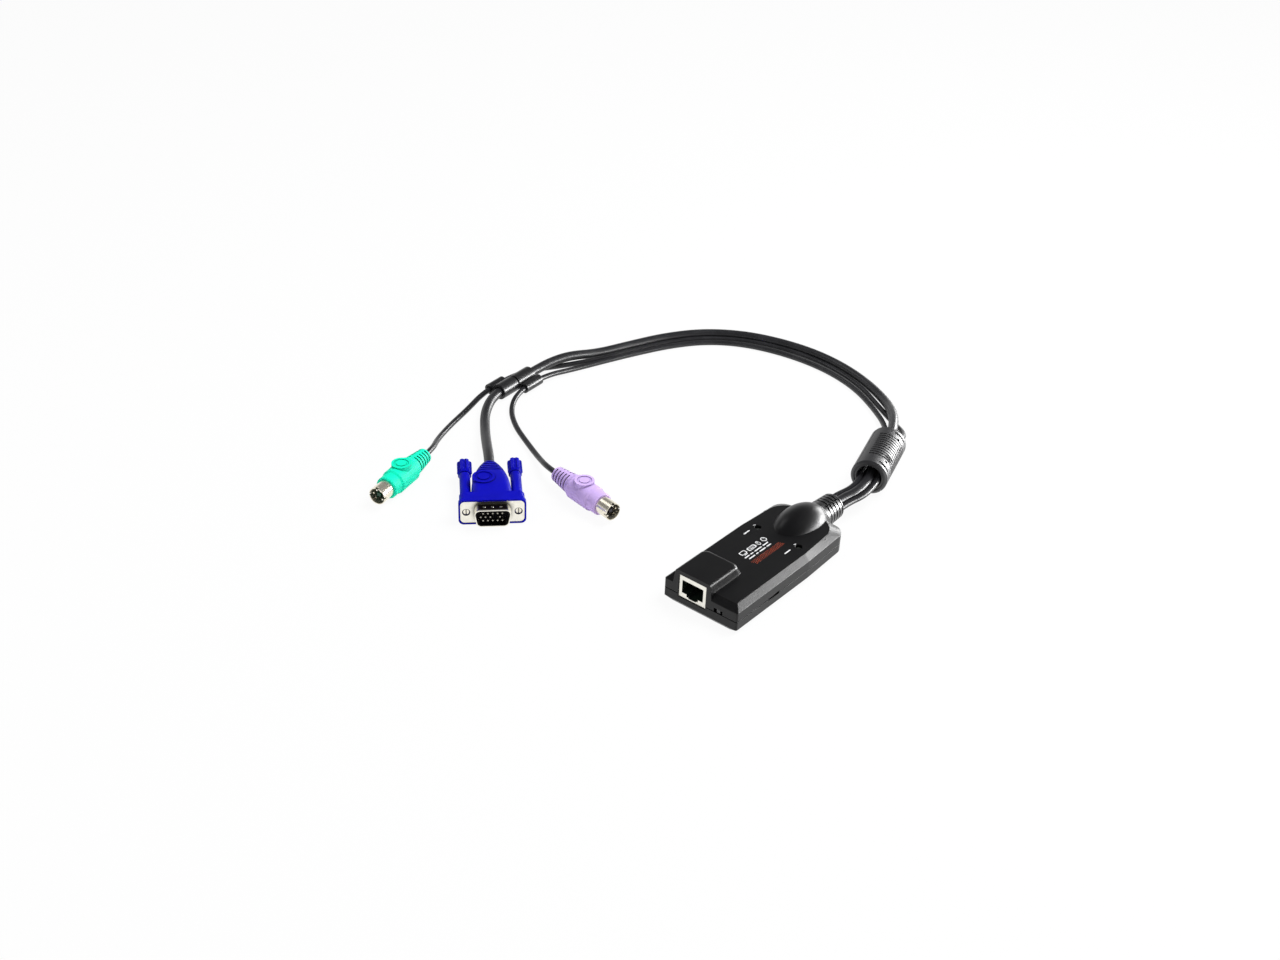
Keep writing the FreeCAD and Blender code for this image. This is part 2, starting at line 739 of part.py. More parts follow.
def hood_block(name, wall):
    """The raised hood over the jack, moved in by a wall, with its top edge eased in three steps."""
    foot = shoulder_height - hood_root
    rise = hump_height - deck_height
    side_slope = (hump_foot_width - hump_top_width) / 2 / rise
    rear_slope = (hump_foot_length - hump_top_length) / rise
    sections = []
    levels = [(foot, 0)]
    for angle in EDGE_STEPS:
        turn = math.radians(angle)
        levels.append((hump_height - hump_edge * (1 - math.sin(turn)), hump_edge * (1 - math.cos(turn))))
    for number, (level, ease) in enumerate(levels):
        drop = hump_height - level
        half = hump_top_width / 2 + side_slope * drop - ease - wall
        far = front_y + hump_top_length + rear_slope * drop - ease - wall
        sections.append(hood_sketch(f"{name}_level_{number}", level - wall, half, far, hump_corner, wall))
    return loft(name, sections, True)


def fairing_block(name, wall):
    """The streamlined bulge over the cord entry, two half ellipsoids with their broad ends together."""
    radius = fairing_radius - wall
    halves = []
    for part_name, reach, tilt in (("_nose", fairing_nose_reach, 90), ("_tail", fairing_tail_reach, -90)):
        half = doc.addObject("Part::Ellipsoid", name + part_name)
        half.Placement = Placement(Vector(0, 0, 0), Rotation(X_AXIS, tilt))
        half.Angle1 = 0.0
        bind(half, Radius1=reach - wall, Radius2=radius, Radius3=radius)
        bind(half, Placement__Base__y=front_y + fairing_crest, Placement__Base__z=entry_height)
        halves.append(half)
    return fuse(name, halves)


def screw_places():
    """The four places, left and right, where a screw holds the housing together."""
    side = shell_width / 2 - shell_wall - post_inset
    near = front_y + post_from_front
    far = front_y + board_length - post_from_rear
    return [(x, y) for y in (near, far) for x in (-side, side)]


def seam_groove(name, low, high):
    """The shadow gap that runs round the housing between two heights."""
    wide = shell_width / 2 + 1
    slab = box(name + "_slab", -wide, wide, front_y - 1, rear_y, low, high)
    core = prism(name + "_core", plan_sketch(name + "_plan", low, seam_groove_depth, seam_groove_depth,
                                             seam_groove_depth, front_radius, rear_radius), high - low)
    return cut(name, slab, core)


def jack_window(name):
    """The room the jack takes out of the housing's front."""
    half = jack_width / 2 + fit_gap
    return box(name, jack_offset - half, jack_offset + half, front_y - 1, front_y + hump_top_length / 2,
               board_top - fit_gap, board_top + jack_height + fit_gap)


def pry_notch(name):
    """The notch at the seam on the right side, where a blade opens the housing."""
    outside = shell_width / 2
    start = front_y + notch_start
    return box(name, outside - notch_depth, outside + 1, start, start + notch_length,
               seam_height - notch_height / 2, seam_height + notch_height / 2)


def entry_bore(name):
    """The round way through the neck, for the strain relief's stem."""
    start = rear_y - rear_radius
    return level_cylinder(name, 0, start, entry_height, neck_bore_radius, exit_y - start)


def flange_room(name):
    """The round groove behind the rear wall that holds the strain relief's flange."""
    start = rear_y - shell_wall - relief_flange_length - fit_gap * 2
    return level_cylinder(name, 0, start, entry_height, relief_flange_radius + fit_gap,
                          relief_flange_length + fit_gap * 2)


def half_space(name, above):
    """A block that holds everything above or below the seam."""
    wide = shell_width
    low = seam_height if above else as_size(-10)
    high = hump_height * 2 if above else seam_height
    return box(name, -wide, wide, front_y - 5, exit_y, low, high)


def top_shell():
    """The upper shell with its deck, hood, fairing, lamp holes and screw bosses."""
    tail_end = rear_y + neck_length
    outer_fairing = common("top_fairing", [
        fairing_block("top_fairing_outer", 0),
        box("top_fairing_limit", -fairing_radius, fairing_radius, front_y, tail_end, 0, hump_height * 2)])
    outer = fuse("top_outer", [housing_block("top_block", 0), hood_block("top_hood", 0), outer_fairing])
    skin = common("top_skin", [outer, half_space("top_half", True)])
    inner_fairing = common("top_fairing_hollow", [
        fairing_block("top_fairing_inner", shell_wall),
        box("top_hollow_limit", -fairing_radius, fairing_radius, front_y, rear_y - shell_wall,
            seam_height - 1, hump_height * 2)])
    hollow = fuse("top_hollow", [housing_block("top_room", shell_wall),
                                 hood_block("top_hood_room", shell_wall), inner_fairing])
    shell = cut("top_walls", skin, hollow)
    bosses = []
    pilots = []
    for number, (x, y) in enumerate(screw_places()):
        bosses.append(cylinder(f"top_boss_{number}", x, y, board_top, boss_radius,
                               deck_underside - board_top + shell_wall / 2))
        pilots.append(cylinder(f"top_pilot_{number}", x, y, board_top - 1, screw_radius,
                               screw_reach - board_top + screw_pilot_depth))
    slot_low = seam_height
    openings = [
        jack_window("top_jack_window"),
        box("top_switch_slot", switch_x - switch_slot_width / 2, switch_x + switch_slot_width / 2,
            front_y - 1, front_y + shell_wall * 2, slot_low, slot_low + switch_slot_height),
        entry_bore("top_entry"),
        flange_room("top_flange_room"),
        pry_notch("top_notch"),
        seam_groove("top_seam", seam_height - 1, seam_height + seam_groove_height),
    ]
    for name, x in (("online", online_lamp_x), ("power", power_lamp_x)):
        openings.append(cylinder(f"{name}_lamp_hole", x, front_y + lamp_front, deck_underside - 1,
                                 lamp_hole_radius, shell_wall + 2))
    solid = fuse("top_with_bosses", [shell] + bosses)
    body = cut("top_shell_cut", solid, fuse("top_openings", openings + pilots))
    return keep(body, "top_shell")


def bottom_shell():
    """The lower shell: a tray with chamfered feet, screw posts and half of the neck."""
    neck_start = rear_y - rear_radius / 2
    neck = level_cylinder("bottom_neck", 0, neck_start, entry_height, neck_radius,
                          rear_y + neck_length - neck_start)
    outer = fuse("bottom_outer", [housing_block("bottom_block", 0), neck])
    skin = common("bottom_skin", [outer, half_space("bottom_half", False)])
    room = common("bottom_hollow", [
        housing_block("bottom_room", shell_wall),
        box("bottom_room_limit", -shell_width, shell_width, front_y, rear_y - shell_wall, 0, deck_height)])
    shell = cut("bottom_walls", skin, room)
    posts = []
    holes = []
    for number, (x, y) in enumerate(screw_places()):
        posts.append(cylinder(f"bottom_post_{number}", x, y, foot_height / 2, post_radius,
                              board_bottom - foot_height / 2))
        holes.append(cylinder(f"bottom_hole_{number}", x, y, -1, screw_radius + fit_gap, board_bottom + 2))
        holes.append(cylinder(f"bottom_sink_{number}", x, y, -1, screw_head_radius + fit_gap,
                              screw_head_height + screw_head_recess + 1))
    openings = [jack_window("bottom_jack_window"), entry_bore("bottom_entry"), pry_notch("bottom_notch"),
                flange_room("bottom_flange_room")]
    body = cut("bottom_shell_cut", fuse("bottom_with_posts", [shell] + posts),
               fuse("bottom_openings", openings + holes))
    return keep(body, "bottom_shell")


def housing_screws():
    """Four pan-head screws from below, one piece each in one file."""
    screws = []
    for number, (x, y) in enumerate(screw_places()):
        head = cylinder(f"screw_head_{number}", x, y, screw_head_recess, screw_head_radius, screw_head_height)
        seat = screw_head_recess + screw_head_height
        shank = cylinder(f"screw_shank_{number}", x, y, seat, screw_radius, screw_reach - seat)
        screws += [head, shank]
    recesses = []
    for number, (x, y) in enumerate(screw_places()):
        for turn, (wide, deep) in enumerate(((screw_cross_length, screw_cross_width),
                                             (screw_cross_width, screw_cross_length))):
            recesses.append(box(f"screw_cross_{number}_{turn}", x - wide / 2, x + wide / 2,
                                y - deep / 2, y + deep / 2, screw_head_recess - 1,
                                screw_head_recess + screw_head_height / 2))
    return keep(cut("housing_screws_cut", fuse("screw_blanks", screws), fuse("screw_crosses", recesses)),
                "housing_screws")


# ---------------------------------------------------------------------------
# Board and what stands on it
# ---------------------------------------------------------------------------

def circuit_board():
    """The board, with clearance holes for the screws."""
    body = new_body("circuit_board")
    half = shell_width / 2 - shell_wall - board_clearance
    start = front_y + shell_wall + board_clearance
    slim = half - rear_taper
    end = start + board_length
    sketch = new_sketch(body, "board_plan", "XY_Plane", board_bottom)
    draw_polygon(sketch, [(-half, start), (half, start), (half, rear_y - taper_length), (slim, end),
                          (-slim, end), (-half, rear_y - taper_length)])
    pad(body, sketch, board_thickness)
    holes = new_sketch(body, "board_holes", "XY_Plane", board_bottom)
    for x, y in screw_places():
        draw_circle(holes, x, y, screw_radius + fit_gap)
    pocket(body, holes, board_thickness, backward=True)
    return body


def chip(label, x, y, side, height):
    """A square package on the board with an index dimple."""
    body = new_body(label)
    sketch = new_sketch(body, label + "_plan", "XY_Plane", board_top)
    draw_rectangle(sketch, x - side / 2, x + side / 2, y - side / 2, y + side / 2)
    pad(body, sketch, height)
    dimple = new_sketch(body, label + "_dimple", "XY_Plane", board_top + height)
    inset = side / 6
    draw_circle(dimple, x - side / 2 + inset, y - side / 2 + inset, inset / 2)
    pocket(body, dimple, height / 5)
    return body


def board_block(label, x, y, length, width, height, radius):
    """A plain component with rounded upright edges that stands on the board."""
    body = new_body(label)
    sketch = new_sketch(body, label + "_plan", "XY_Plane", board_top)
    outline = rounded_rectangle(x - width / 2, x + width / 2, y - length / 2, y + length / 2, radius)
    draw_outline(sketch, outline)
    pad(body, sketch, height)
    return body


def capacitors():
    """Three upright capacitors in a row."""
    cans = []
    for number in range(capacitor_count):
        y = capacitor_y + capacitor_pitch * number
        cans.append(cylinder(f"capacitor_{number}", capacitor_x, y, board_top, capacitor_radius,
                             capacitor_height))
    return keep(fuse("capacitors_row", cans), "capacitors")


def cord_headers():
    """Three open-topped sockets that take the cords' cores, one for each cord."""
    shells = []
    rooms = []
    for number in range(-1, 2):
        x = header_pitch * number
        half = header_length / 2
        shells.append(box(f"header_{number + 1}", x - half, x + half, header_y, header_y + header_width,
                          board_top, board_top + header_height))
        rooms.append(box(f"header_room_{number + 1}", x - half + header_wall, x + half - header_wall,
                         header_y + header_wall, header_y + header_width - header_wall,
                         board_top + header_wall, board_top + header_height + 1))
    body = cut("cord_headers_cut", fuse("header_blocks", shells), fuse("header_rooms", rooms))
    return keep(body, "cord_headers")


# ---------------------------------------------------------------------------
# Network jack
# ---------------------------------------------------------------------------

def jack_cavity_outline(sketch):
    """The jack's opening: a rectangle with the stepped way for the latch below it."""
    half = cavity_width / 2
    floor = board_top + cavity_bottom
    latch = latch_width / 2
    tongue = tongue_width / 2
    step = floor - latch_height
    foot = board_top + shield_sheet * 2
    draw_polygon(sketch, [
        (jack_offset - half, floor), (jack_offset - latch, floor), (jack_offset - latch, step),
        (jack_offset - tongue, step), (jack_offset - tongue, foot), (jack_offset + tongue, foot),
        (jack_offset + tongue, step), (jack_offset + latch, step), (jack_offset + latch, floor),
        (jack_offset + half, floor), (jack_offset + half, floor + cavity_height),
        (jack_offset - half, floor + cavity_height)])
    return sketch


def jack_block(label, sheet, front, back, depth):
    """A block of the jack's section less a sheet, with the opening cut from its front."""
    body = new_body(label)
    half = jack_width / 2 - sheet
    sketch = new_sketch(body, label + "_section", "XZ_Plane", -as_size(front))
    draw_rectangle(sketch, jack_offset - half, jack_offset + half, board_top + sheet,
                   board_top + jack_height - sheet)
    pad(body, sketch, back - front, backward=True)
    mouth = jack_cavity_outline(new_sketch(body, label + "_mouth", "XZ_Plane", -as_size(front)))
    pocket(body, mouth, depth, backward=False)
    return body


def jack():
    """The jack's metal shield, its plastic core and the sprung contacts in its mouth."""
    back = jack_front + jack_depth
    core_front = jack_front + shield_sheet
    core = jack_block("jack_body", shield_sheet, core_front, back - shield_sheet, cavity_depth)
    shield = jack_block("jack_shield", as_size(0), jack_front, back, shield_sheet * 2)
    hollow = new_sketch(shield, "jack_shield_room", "XZ_Plane", -core_front)
    half = jack_width / 2 - shield_sheet
    draw_rectangle(hollow, jack_offset - half, jack_offset + half, board_top + shield_sheet,
                   board_top + jack_height - shield_sheet)
    pocket(shield, hollow, jack_depth - shield_sheet * 2)
    return core, shield


def jack_contacts():
    """Eight sprung wires that slope down from the roof of the opening towards its back."""
    roof = board_top + cavity_bottom + cavity_height
    start = jack_front + contact_start
    end = jack_front + shield_sheet + cavity_depth
    wires = []
    first = jack_offset - contact_pitch * (contact_count - 1) / 2
    for number in range(contact_count):
        x = first + contact_pitch * number
        body = doc.addObject("PartDesign::Body", f"contact_{number}")
        sketch = new_sketch(body, f"contact_profile_{number}", "YZ_Plane", x - contact_side / 2)
        draw_polygon(sketch, [
            (start, roof), (start, roof - contact_side), (end - 1, roof - contact_drop),
            (end, roof - contact_drop), (end, roof - contact_drop + contact_side),
            (end - 1, roof - contact_drop + contact_side), (start + 1, roof)])
        pad(body, sketch, contact_side)
        wires.append(body)
    return keep(fuse("contact_row", wires), "jack_contacts")


# ---------------------------------------------------------------------------
# Recovery switch and lamps
# ---------------------------------------------------------------------------

def switch():
    """A slide switch on the board behind the housing's front wall, and its knob."""
    slot_middle = seam_height + switch_slot_height / 2
    front = front_y + shell_wall + fit_gap
    half = switch_body_width / 2
    body = new_body("switch_body")
    sketch = new_sketch(body, "switch_section", "YZ_Plane", switch_x)
    draw_rectangle(sketch, front, front + switch_body_depth, board_top, board_top + switch_body_height)
    pad(body, sketch, switch_body_width, both=True)
    channel = new_sketch(body, "switch_channel", "YZ_Plane", switch_x)
    reach = slider_height / 2 + slider_gap
    draw_rectangle(channel, front - 1, front + slider_gap + slider_depth + slider_gap,
                   slot_middle - reach, slot_middle + reach)
    pocket(body, channel, slider_width + (knob_travel + slider_gap) * 2, both=True)
    knob = new_body("switch_knob")
    plate = new_sketch(knob, "slider_section", "YZ_Plane", switch_x)
    back = front + slider_gap
    draw_rectangle(plate, back, back + slider_depth, slot_middle - slider_height / 2,
                   slot_middle + slider_height / 2)
    pad(knob, plate, slider_width, both=True)
    nub = new_sketch(knob, "knob_section", "YZ_Plane", switch_x)
    draw_rectangle(nub, front_y + knob_recess, back + slider_depth / 2, slot_middle - knob_height / 2,
                   slot_middle + knob_height / 2)
    pad(knob, nub, knob_width, both=True)
    return body, knob


def lamp(label, x):
    """A round-topped lamp on two legs, just under its hole in the deck."""
    y = front_y + lamp_front
    top = deck_height - lamp_recess
    foot = top - lamp_length
    body = new_body(label, (x, y, foot, 0))
    profile = new_sketch(body, label + "_profile", "XZ_Plane")
    shoulder = lamp_length - lamp_radius
    draw_outline(profile, [
        ("line", (0, 0), (lamp_rim_radius, 0)),
        ("line", (lamp_rim_radius, 0), (lamp_rim_radius, lamp_rim_height)),
        ("line", (lamp_rim_radius, lamp_rim_height), (lamp_radius, lamp_rim_height)),
        ("line", (lamp_radius, lamp_rim_height), (lamp_radius, shoulder)),
        ("arc", (0, shoulder), lamp_radius, 0, 90),
        ("line", (0, lamp_length), (0, 0)),
    ])
    revolve(body, profile)
    legs = new_sketch(body, label + "_legs", "XY_Plane")
    for side in (-1, 1):
        middle = lamp_leg_pitch / 2 * side
        draw_rectangle(legs, middle - lamp_leg_side / 2, middle + lamp_leg_side / 2,
                       -(lamp_leg_side / 2), lamp_leg_side / 2)
    pad(body, legs, foot - board_top, backward=True)
    return body


# ---------------------------------------------------------------------------
# Strain relief
# ---------------------------------------------------------------------------

def strain_relief():
    """The moulded relief: a flange inside the housing, a stem and a tip with staggered slots."""
    body = doc.addObject("PartDesign::Body", "relief_blank")
    bind(body, Placement__Base__z=entry_height)
    profile = new_sketch(body, "relief_profile", "XY_Plane")
    wall_inside = rear_y - shell_wall - fit_gap / 2
    neck_end = rear_y + neck_length
    draw_polygon(profile, [
        (0, wall_inside - relief_flange_length), (relief_flange_radius, wall_inside - relief_flange_length),
        (relief_flange_radius, wall_inside), (relief_stem_radius, wall_inside),
        (relief_stem_radius, neck_end), (relief_radius, neck_end), (relief_tip_radius, exit_y), (0, exit_y)])
    revolve(body, profile)
    round_edges(body, relief_edge_radius,
                lambda edge: edge.Curve.TypeId == "Part::GeomCircle"
                and edge.BoundBox.YMin > exit_y.value - 0.01)
    wide = relief_radius + 1
    bridge = relief_bridge_width / 2
    slots = []
    for number in range(relief_slot_count):
        start = neck_end + relief_slot_start + relief_slot_pitch * number
        end = start + relief_slot_width
        low = entry_height - wide
        high = entry_height + wide
        if number % 2:
            reach = bridge + relief_overlap
            slots.append(box(f"relief_slot_{number}", -reach, reach, start, end, low, high))
            continue
        slots.append(box(f"relief_slot_{number}_left", -wide, -bridge, start, end, low, high))
        slots.append(box(f"relief_slot_{number}_right", bridge, wide, start, end, low, high))
    core = level_cylinder("relief_core", 0, neck_end, entry_height, relief_core_radius, exit_y - neck_end)
    grooves = cut("relief_grooves", fuse("relief_slots", slots), core)
    return keep(cut("strain_relief_cut", body, grooves), "strain_relief")


# ---------------------------------------------------------------------------
# Cords
# ---------------------------------------------------------------------------

ARC_SHARE = 0.45

VIDEO_ROUTE = [
    (0.0, 52.5, 8.4), (0.0, 60.0, 8.4), (2.3, 70.5, 8.7), (1.4, 80.0, 9.2), (-2.4, 90.7, 9.4),
    (-6.2, 103.0, 9.5), (-10.7, 117.2, 9.4), (-16.0, 131.5, 9.2), (-26.0, 149.0, 7.6), (-40.0, 164.6, 3.6),
    (-58.5, 176.0, 2.6), (-79.0, 183.2, 2.6), (-101.0, 186.0, 2.6), (-124.0, 183.3, 2.6),
    (-146.0, 175.6, 2.6), (-164.5, 161.2, 2.6), (-177.0, 141.5, 2.6), (-185.3, 119.5, 2.6),
    (-191.8, 99.5, 2.9), (-197.3, 83.0, 5.9), (-200.2, 70.5, 5.9), (-201.8, 58.6, 4.4),
    (-200.4, 40.7, 4.3), (-199.1, 22.7, 4.3), (-191.6, 8.5, 2.8), (-178.5, -5.0, 2.6),
    (-164.5, -18.0, 5.2), (-154.96, -26.44, 6.8), (-147.09, -34.1, 6.8),
]

KEYBOARD_ROUTE = [
    (-4.3, 52.5, 8.4), (-4.3, 60.5, 8.4), (-2.0, 70.8, 8.6), (-2.8, 79.1, 9.2), (-6.3, 89.3, 8.9),
    (-9.7, 101.9, 6.6), (-12.4, 116.7, 5.1), (-18.2, 130.6, 4.4), (-29.0, 145.6, 2.4),
    (-44.0, 157.5, 1.6), (-61.9, 168.4, 1.45), (-81.1, 174.5, 1.45), (-101.0, 176.3, 1.45),
    (-121.8, 173.9, 1.45), (-141.5, 167.3, 1.45), (-157.7, 155.0, 1.45), (-169.0, 137.5, 1.45),
    (-177.6, 116.8, 1.45), (-184.6, 97.1, 1.45), (-190.6, 79.0, 1.45), (-194.9, 59.1, 3.5),
    (-193.2, 36.2, 3.5), (-186.2, 22.5, 1.45), (-172.5, 11.2, 1.45), (-156.0, 2.8, 1.45),
    (-140.5, -5.2, 2.4), (-126.76, -13.62, 6.4), (-118.89, -14.98, 6.4),
]

MOUSE_ROUTE = [
    (4.3, 52.5, 8.4), (4.3, 59.5, 8.4), (6.6, 70.2, 8.6), (5.6, 80.9, 9.2), (1.8, 92.0, 9.4),
    (-2.1, 104.3, 9.5), (-6.6, 118.5, 9.3), (-9.5, 130.2, 8.0), (-14.8, 142.0, 3.8),
    (-25.6, 150.7, 1.5), (-38.9, 158.7, 1.45), (-60.3, 172.2, 1.45), (-80.0, 179.0, 1.45),
    (-101.0, 181.7, 1.45), (-123.0, 179.1, 1.45), (-143.9, 171.8, 1.45), (-161.3, 158.3, 1.45),
    (-173.2, 139.6, 1.45), (-181.2, 118.1, 1.45), (-187.6, 98.1, 1.45), (-197.6, 77.8, 1.45),
    (-206.8, 61.5, 1.8), (-207.7, 43.5, 3.5), (-206.0, 22.2, 3.5), (-202.2, 6.5, 1.45),
    (-197.0, -12.0, 1.45), (-190.0, -28.3, 2.8), (-181.15, -39.99, 6.4), (-179.23, -47.74, 6.4),
]


def cord_path(route):
    """A wire of straight runs joined by tangent arcs, and the smallest radius in it."""
    spots = [Vector(*point) for point in route]
    edges = []
    radii = []
    start = spots[0]
    for before, spot, after in zip(spots, spots[1:], spots[2:]):
        back = before - spot
        ahead = after - spot
        half_turn = (math.pi - back.getAngle(ahead)) / 2
        reach = ARC_SHARE * min(back.Length, ahead.Length)
        radius = reach / math.tan(half_turn)
        back.normalize()
        ahead.normalize()
        inward = (back + ahead).normalize()
        middle = spot + inward * (radius / math.cos(half_turn) - radius)
        edges.append(Part.LineSegment(start, spot + back * reach).toShape())
        edges.append(Part.Arc(spot + back * reach, middle, spot + ahead * reach).toShape())
        radii.append(radius)
        start = spot + ahead * reach
    edges.append(Part.LineSegment(start, spots[-1]).toShape())
    return Part.Wire(edges), min(radii)


def cord(label, route, diameter):
    """A plain round tube along a route; its volume is its section times its length."""
    path, tightest = cord_path(route)
    direction = Vector(*route[1]) - Vector(*route[0])
    ring = Part.Wire([Part.makeCircle(diameter.value / 2, Vector(*route[0]), direction)])
    tube = path.makePipeShell([ring], True, True)
    if not tube.isValid():
        raise RuntimeError(f"{label} is not a valid solid")
    expected = path.Length * math.pi * (diameter.value / 2) ** 2
    print(f"{label}: length {path.Length:.1f}, smallest radius {tightest:.1f}, "
          f"volume {tube.Volume / expected:.4f} of section times length")
    return keep(fixed(label, tube), label)


# ---------------------------------------------------------------------------
# Ferrite filter
# ---------------------------------------------------------------------------

def settle(thing, pose, roll=None):
    """Lays a finished piece at its pose; a roll turns it about its own length first."""
    x, y, z, turn = [as_size(item) for item in pose]
    spin = Rotation(Z_AXIS, turn.value)
    if roll is not None:
        spin = spin * Rotation(Y_AXIS, roll.value)
    thing.Placement = Placement(Vector(x.value, y.value, z.value), spin)
    bind(thing, Placement__Base__x=x, Placement__Base__y=y, Placement__Base__z=z)
    return thing


def ferrite_blank(name):
    """The closed case before it is parted: turned, chamfered and bored."""
    body = doc.addObject("PartDesign::Body", name)
    radius = ferrite_radius
    chamfer = ferrite_chamfer
    room = ferrite_core_radius + ferrite_core_gap
    profile = new_sketch(body, name + "_profile", "XY_Plane")
    draw_polygon(profile, [
        (ferrite_bore_radius, ferrite_lip_depth), (ferrite_lip_radius, ferrite_lip_depth),
        (ferrite_lip_radius, 0),
        (radius - chamfer, 0), (radius, chamfer), (radius, ferrite_length - chamfer),
        (radius - chamfer, ferrite_length), (ferrite_lip_radius, ferrite_length),
        (ferrite_lip_radius, ferrite_length - ferrite_lip_depth),
        (ferrite_bore_radius, ferrite_length - ferrite_lip_depth),
        (ferrite_bore_radius, ferrite_length - ferrite_end_wall), (room, ferrite_length - ferrite_end_wall),
        (room, ferrite_end_wall), (ferrite_bore_radius, ferrite_end_wall)])
    revolve(body, profile)
    return body


def ferrite_marks(name, side):
    """Rib grooves, latch slots and small windows on one half of the case."""
    far = ferrite_radius + 1
    low, high = (0, far) if side > 0 else (-far, 0)
    ribs = []
    for number in range(ferrite_rib_count):
        start = ferrite_rib_start + ferrite_rib_pitch * number
        ribs.append(box(f"{name}_rib_{number}", -ferrite_rib_half_width, ferrite_rib_half_width,
                        start, start + ferrite_rib_width, low, high))
    rib_core = level_cylinder(name + "_rib_core", 0, 0, 0, ferrite_radius - ferrite_rib_depth, ferrite_length)
    cuts = []
    for end in (0, 1):
        for kind, inset, half in (("slot", ferrite_slot_from_end, ferrite_slot_half_width),
                                  ("window", ferrite_window_from_end, ferrite_slot_width / 2)):
            start = inset if end == 0 else ferrite_length - inset - ferrite_slot_width
            cuts.append(box(f"{name}_{kind}_{end}", -half, half, start, as_size(start) + ferrite_slot_width,
                            low, high))
    cut_core = level_cylinder(name + "_cut_core", 0, 0, 0, ferrite_core_radius + ferrite_core_gap * 2,
                              ferrite_length)
    return fuse(name, [cut(name + "_ribs", fuse(name + "_rib_bars", ribs), rib_core),
                       cut(name + "_slots", fuse(name + "_slot_bars", cuts), cut_core)])


def ferrite_filter():
    """Two case halves snapped round two half-round cores."""
    far = ferrite_radius + 1
    for label, side in (("upper", 1), ("lower", -1)):
        low, high = (0, far) if side > 0 else (-far, 0)
        half = common(f"ferrite_{label}_half", [
            ferrite_blank(f"ferrite_{label}_blank"),
            box(f"ferrite_{label}_limit", -far, far, -1, ferrite_length + 1, low, high)])
        seam = cut(f"ferrite_{label}_seam",
                   box(f"ferrite_{label}_seam_bar", -far, far, -1, ferrite_length + 1,
                       -(seam_groove_height / 2), seam_groove_height / 2),
                   level_cylinder(f"ferrite_{label}_seam_core", 0, -1, 0, ferrite_radius - ferrite_rib_depth,
                                  ferrite_length + 2))
        marks = fuse(f"ferrite_{label}_cuts", [ferrite_marks(f"ferrite_{label}_marks", side), seam])
        case = cut(f"ferrite_case_{label}_cut", half, marks)
        keep(settle(case, ferrite_pose, ferrite_roll), f"ferrite_case_{label}")
    start = ferrite_end_wall + ferrite_core_gap
    length = ferrite_length - start * 2
    for label, side in (("upper", 1), ("lower", -1)):
        low, high = (0, far) if side > 0 else (-far, 0)
        ring = cut(f"ferrite_core_{label}_ring",
                   level_cylinder(f"ferrite_core_{label}_outer", 0, start, 0, ferrite_core_radius, length),
                   level_cylinder(f"ferrite_core_{label}_bore", 0, start - 1, 0,
                                  ferrite_bore_radius + ferrite_core_gap, length + 2))
        core = common(f"ferrite_core_{label}_half", [
            ring, box(f"ferrite_core_{label}_limit", -far, far, 0, ferrite_length, low, high)])
        keep(settle(core, ferrite_pose, ferrite_roll), f"ferrite_core_{label}")


# ---------------------------------------------------------------------------
# Cord clip
# ---------------------------------------------------------------------------

def cord_clip():
    """Two moulded blocks on one waist: each holds the thick cord, and one thin cord on one side."""
    rear_start = clip_front_length + clip_gap
    total = rear_start + clip_rear_length
    low = clip_small_radius + clip_small_lift - clip_radius
    solids = [level_cylinder("clip_waist", 0, clip_front_length / 2, 0, clip_waist_radius,
                             total - clip_front_length)]
    bores = [level_cylinder("clip_main_bore", 0, -1, 0, video_diameter / 2 + clip_clearance, total + 2)]
    for name, side, start, length in (("front", -1, as_size(0), clip_front_length),
                                      ("rear", 1, rear_start, clip_rear_length)):
        middle = clip_side_pitch * side
        solids.append(level_cylinder(f"clip_{name}_main", 0, start, 0, clip_radius, length))
        solids.append(level_cylinder(f"clip_{name}_side", middle, start, low, clip_small_radius, length))
        left, right = (middle, as_size(0)) if side < 0 else (as_size(0), middle)
        solids.append(box(f"clip_{name}_web", left, right, start, start + length,
                          low - clip_web / 2, low + clip_web / 2))
        bores.append(level_cylinder(f"clip_{name}_bore", middle, start - 1, low,
                                    thin_diameter / 2 + clip_clearance, length + 2))
    clip = cut("cord_clip_cut", fuse("clip_solids", solids), fuse("clip_bores", bores))
    return keep(settle(clip, clip_pose), "cord_clip")


# ---------------------------------------------------------------------------
# Video plug. Its own frame: the face at y = 0, the cord at +Y, the wide side of the shell up.
# ---------------------------------------------------------------------------

def section_sketch(name, y, width, height, radius):
    """A rounded rectangle across the plug at a distance behind its face."""
    sketch = loose_sketch(name, upright=y)
    return draw_outline(sketch, rounded_rectangle(-(width / 2), width / 2, -(height / 2), height / 2, radius))


def slab(name, start, length, width, height, radius):
    """A rounded block across the plug."""
    block = prism(name, section_sketch(name + "_outline", start, width, height, radius), length)
    block.Reversed = True
    return block


def dee(name, grow, start, length):
    """A block with the connector's D-shaped section, its sides moved out by grow."""
    body = doc.addObject("PartDesign::Body", name)
    wide = vga_shell_width / 2 + grow
    narrow = wide - vga_shell_slant
    half = vga_shell_height / 2 + grow
    sketch = new_sketch(body, name + "_section", "XZ_Plane", -as_size(start))
    draw_polygon(sketch, [(-narrow, -half), (narrow, -half), (wide, half), (-wide, half)])
    pad(body, sketch, length, backward=True)
    round_edges(body, vga_shell_radius + grow, lambda edge: along(edge, Y_AXIS))
    return body


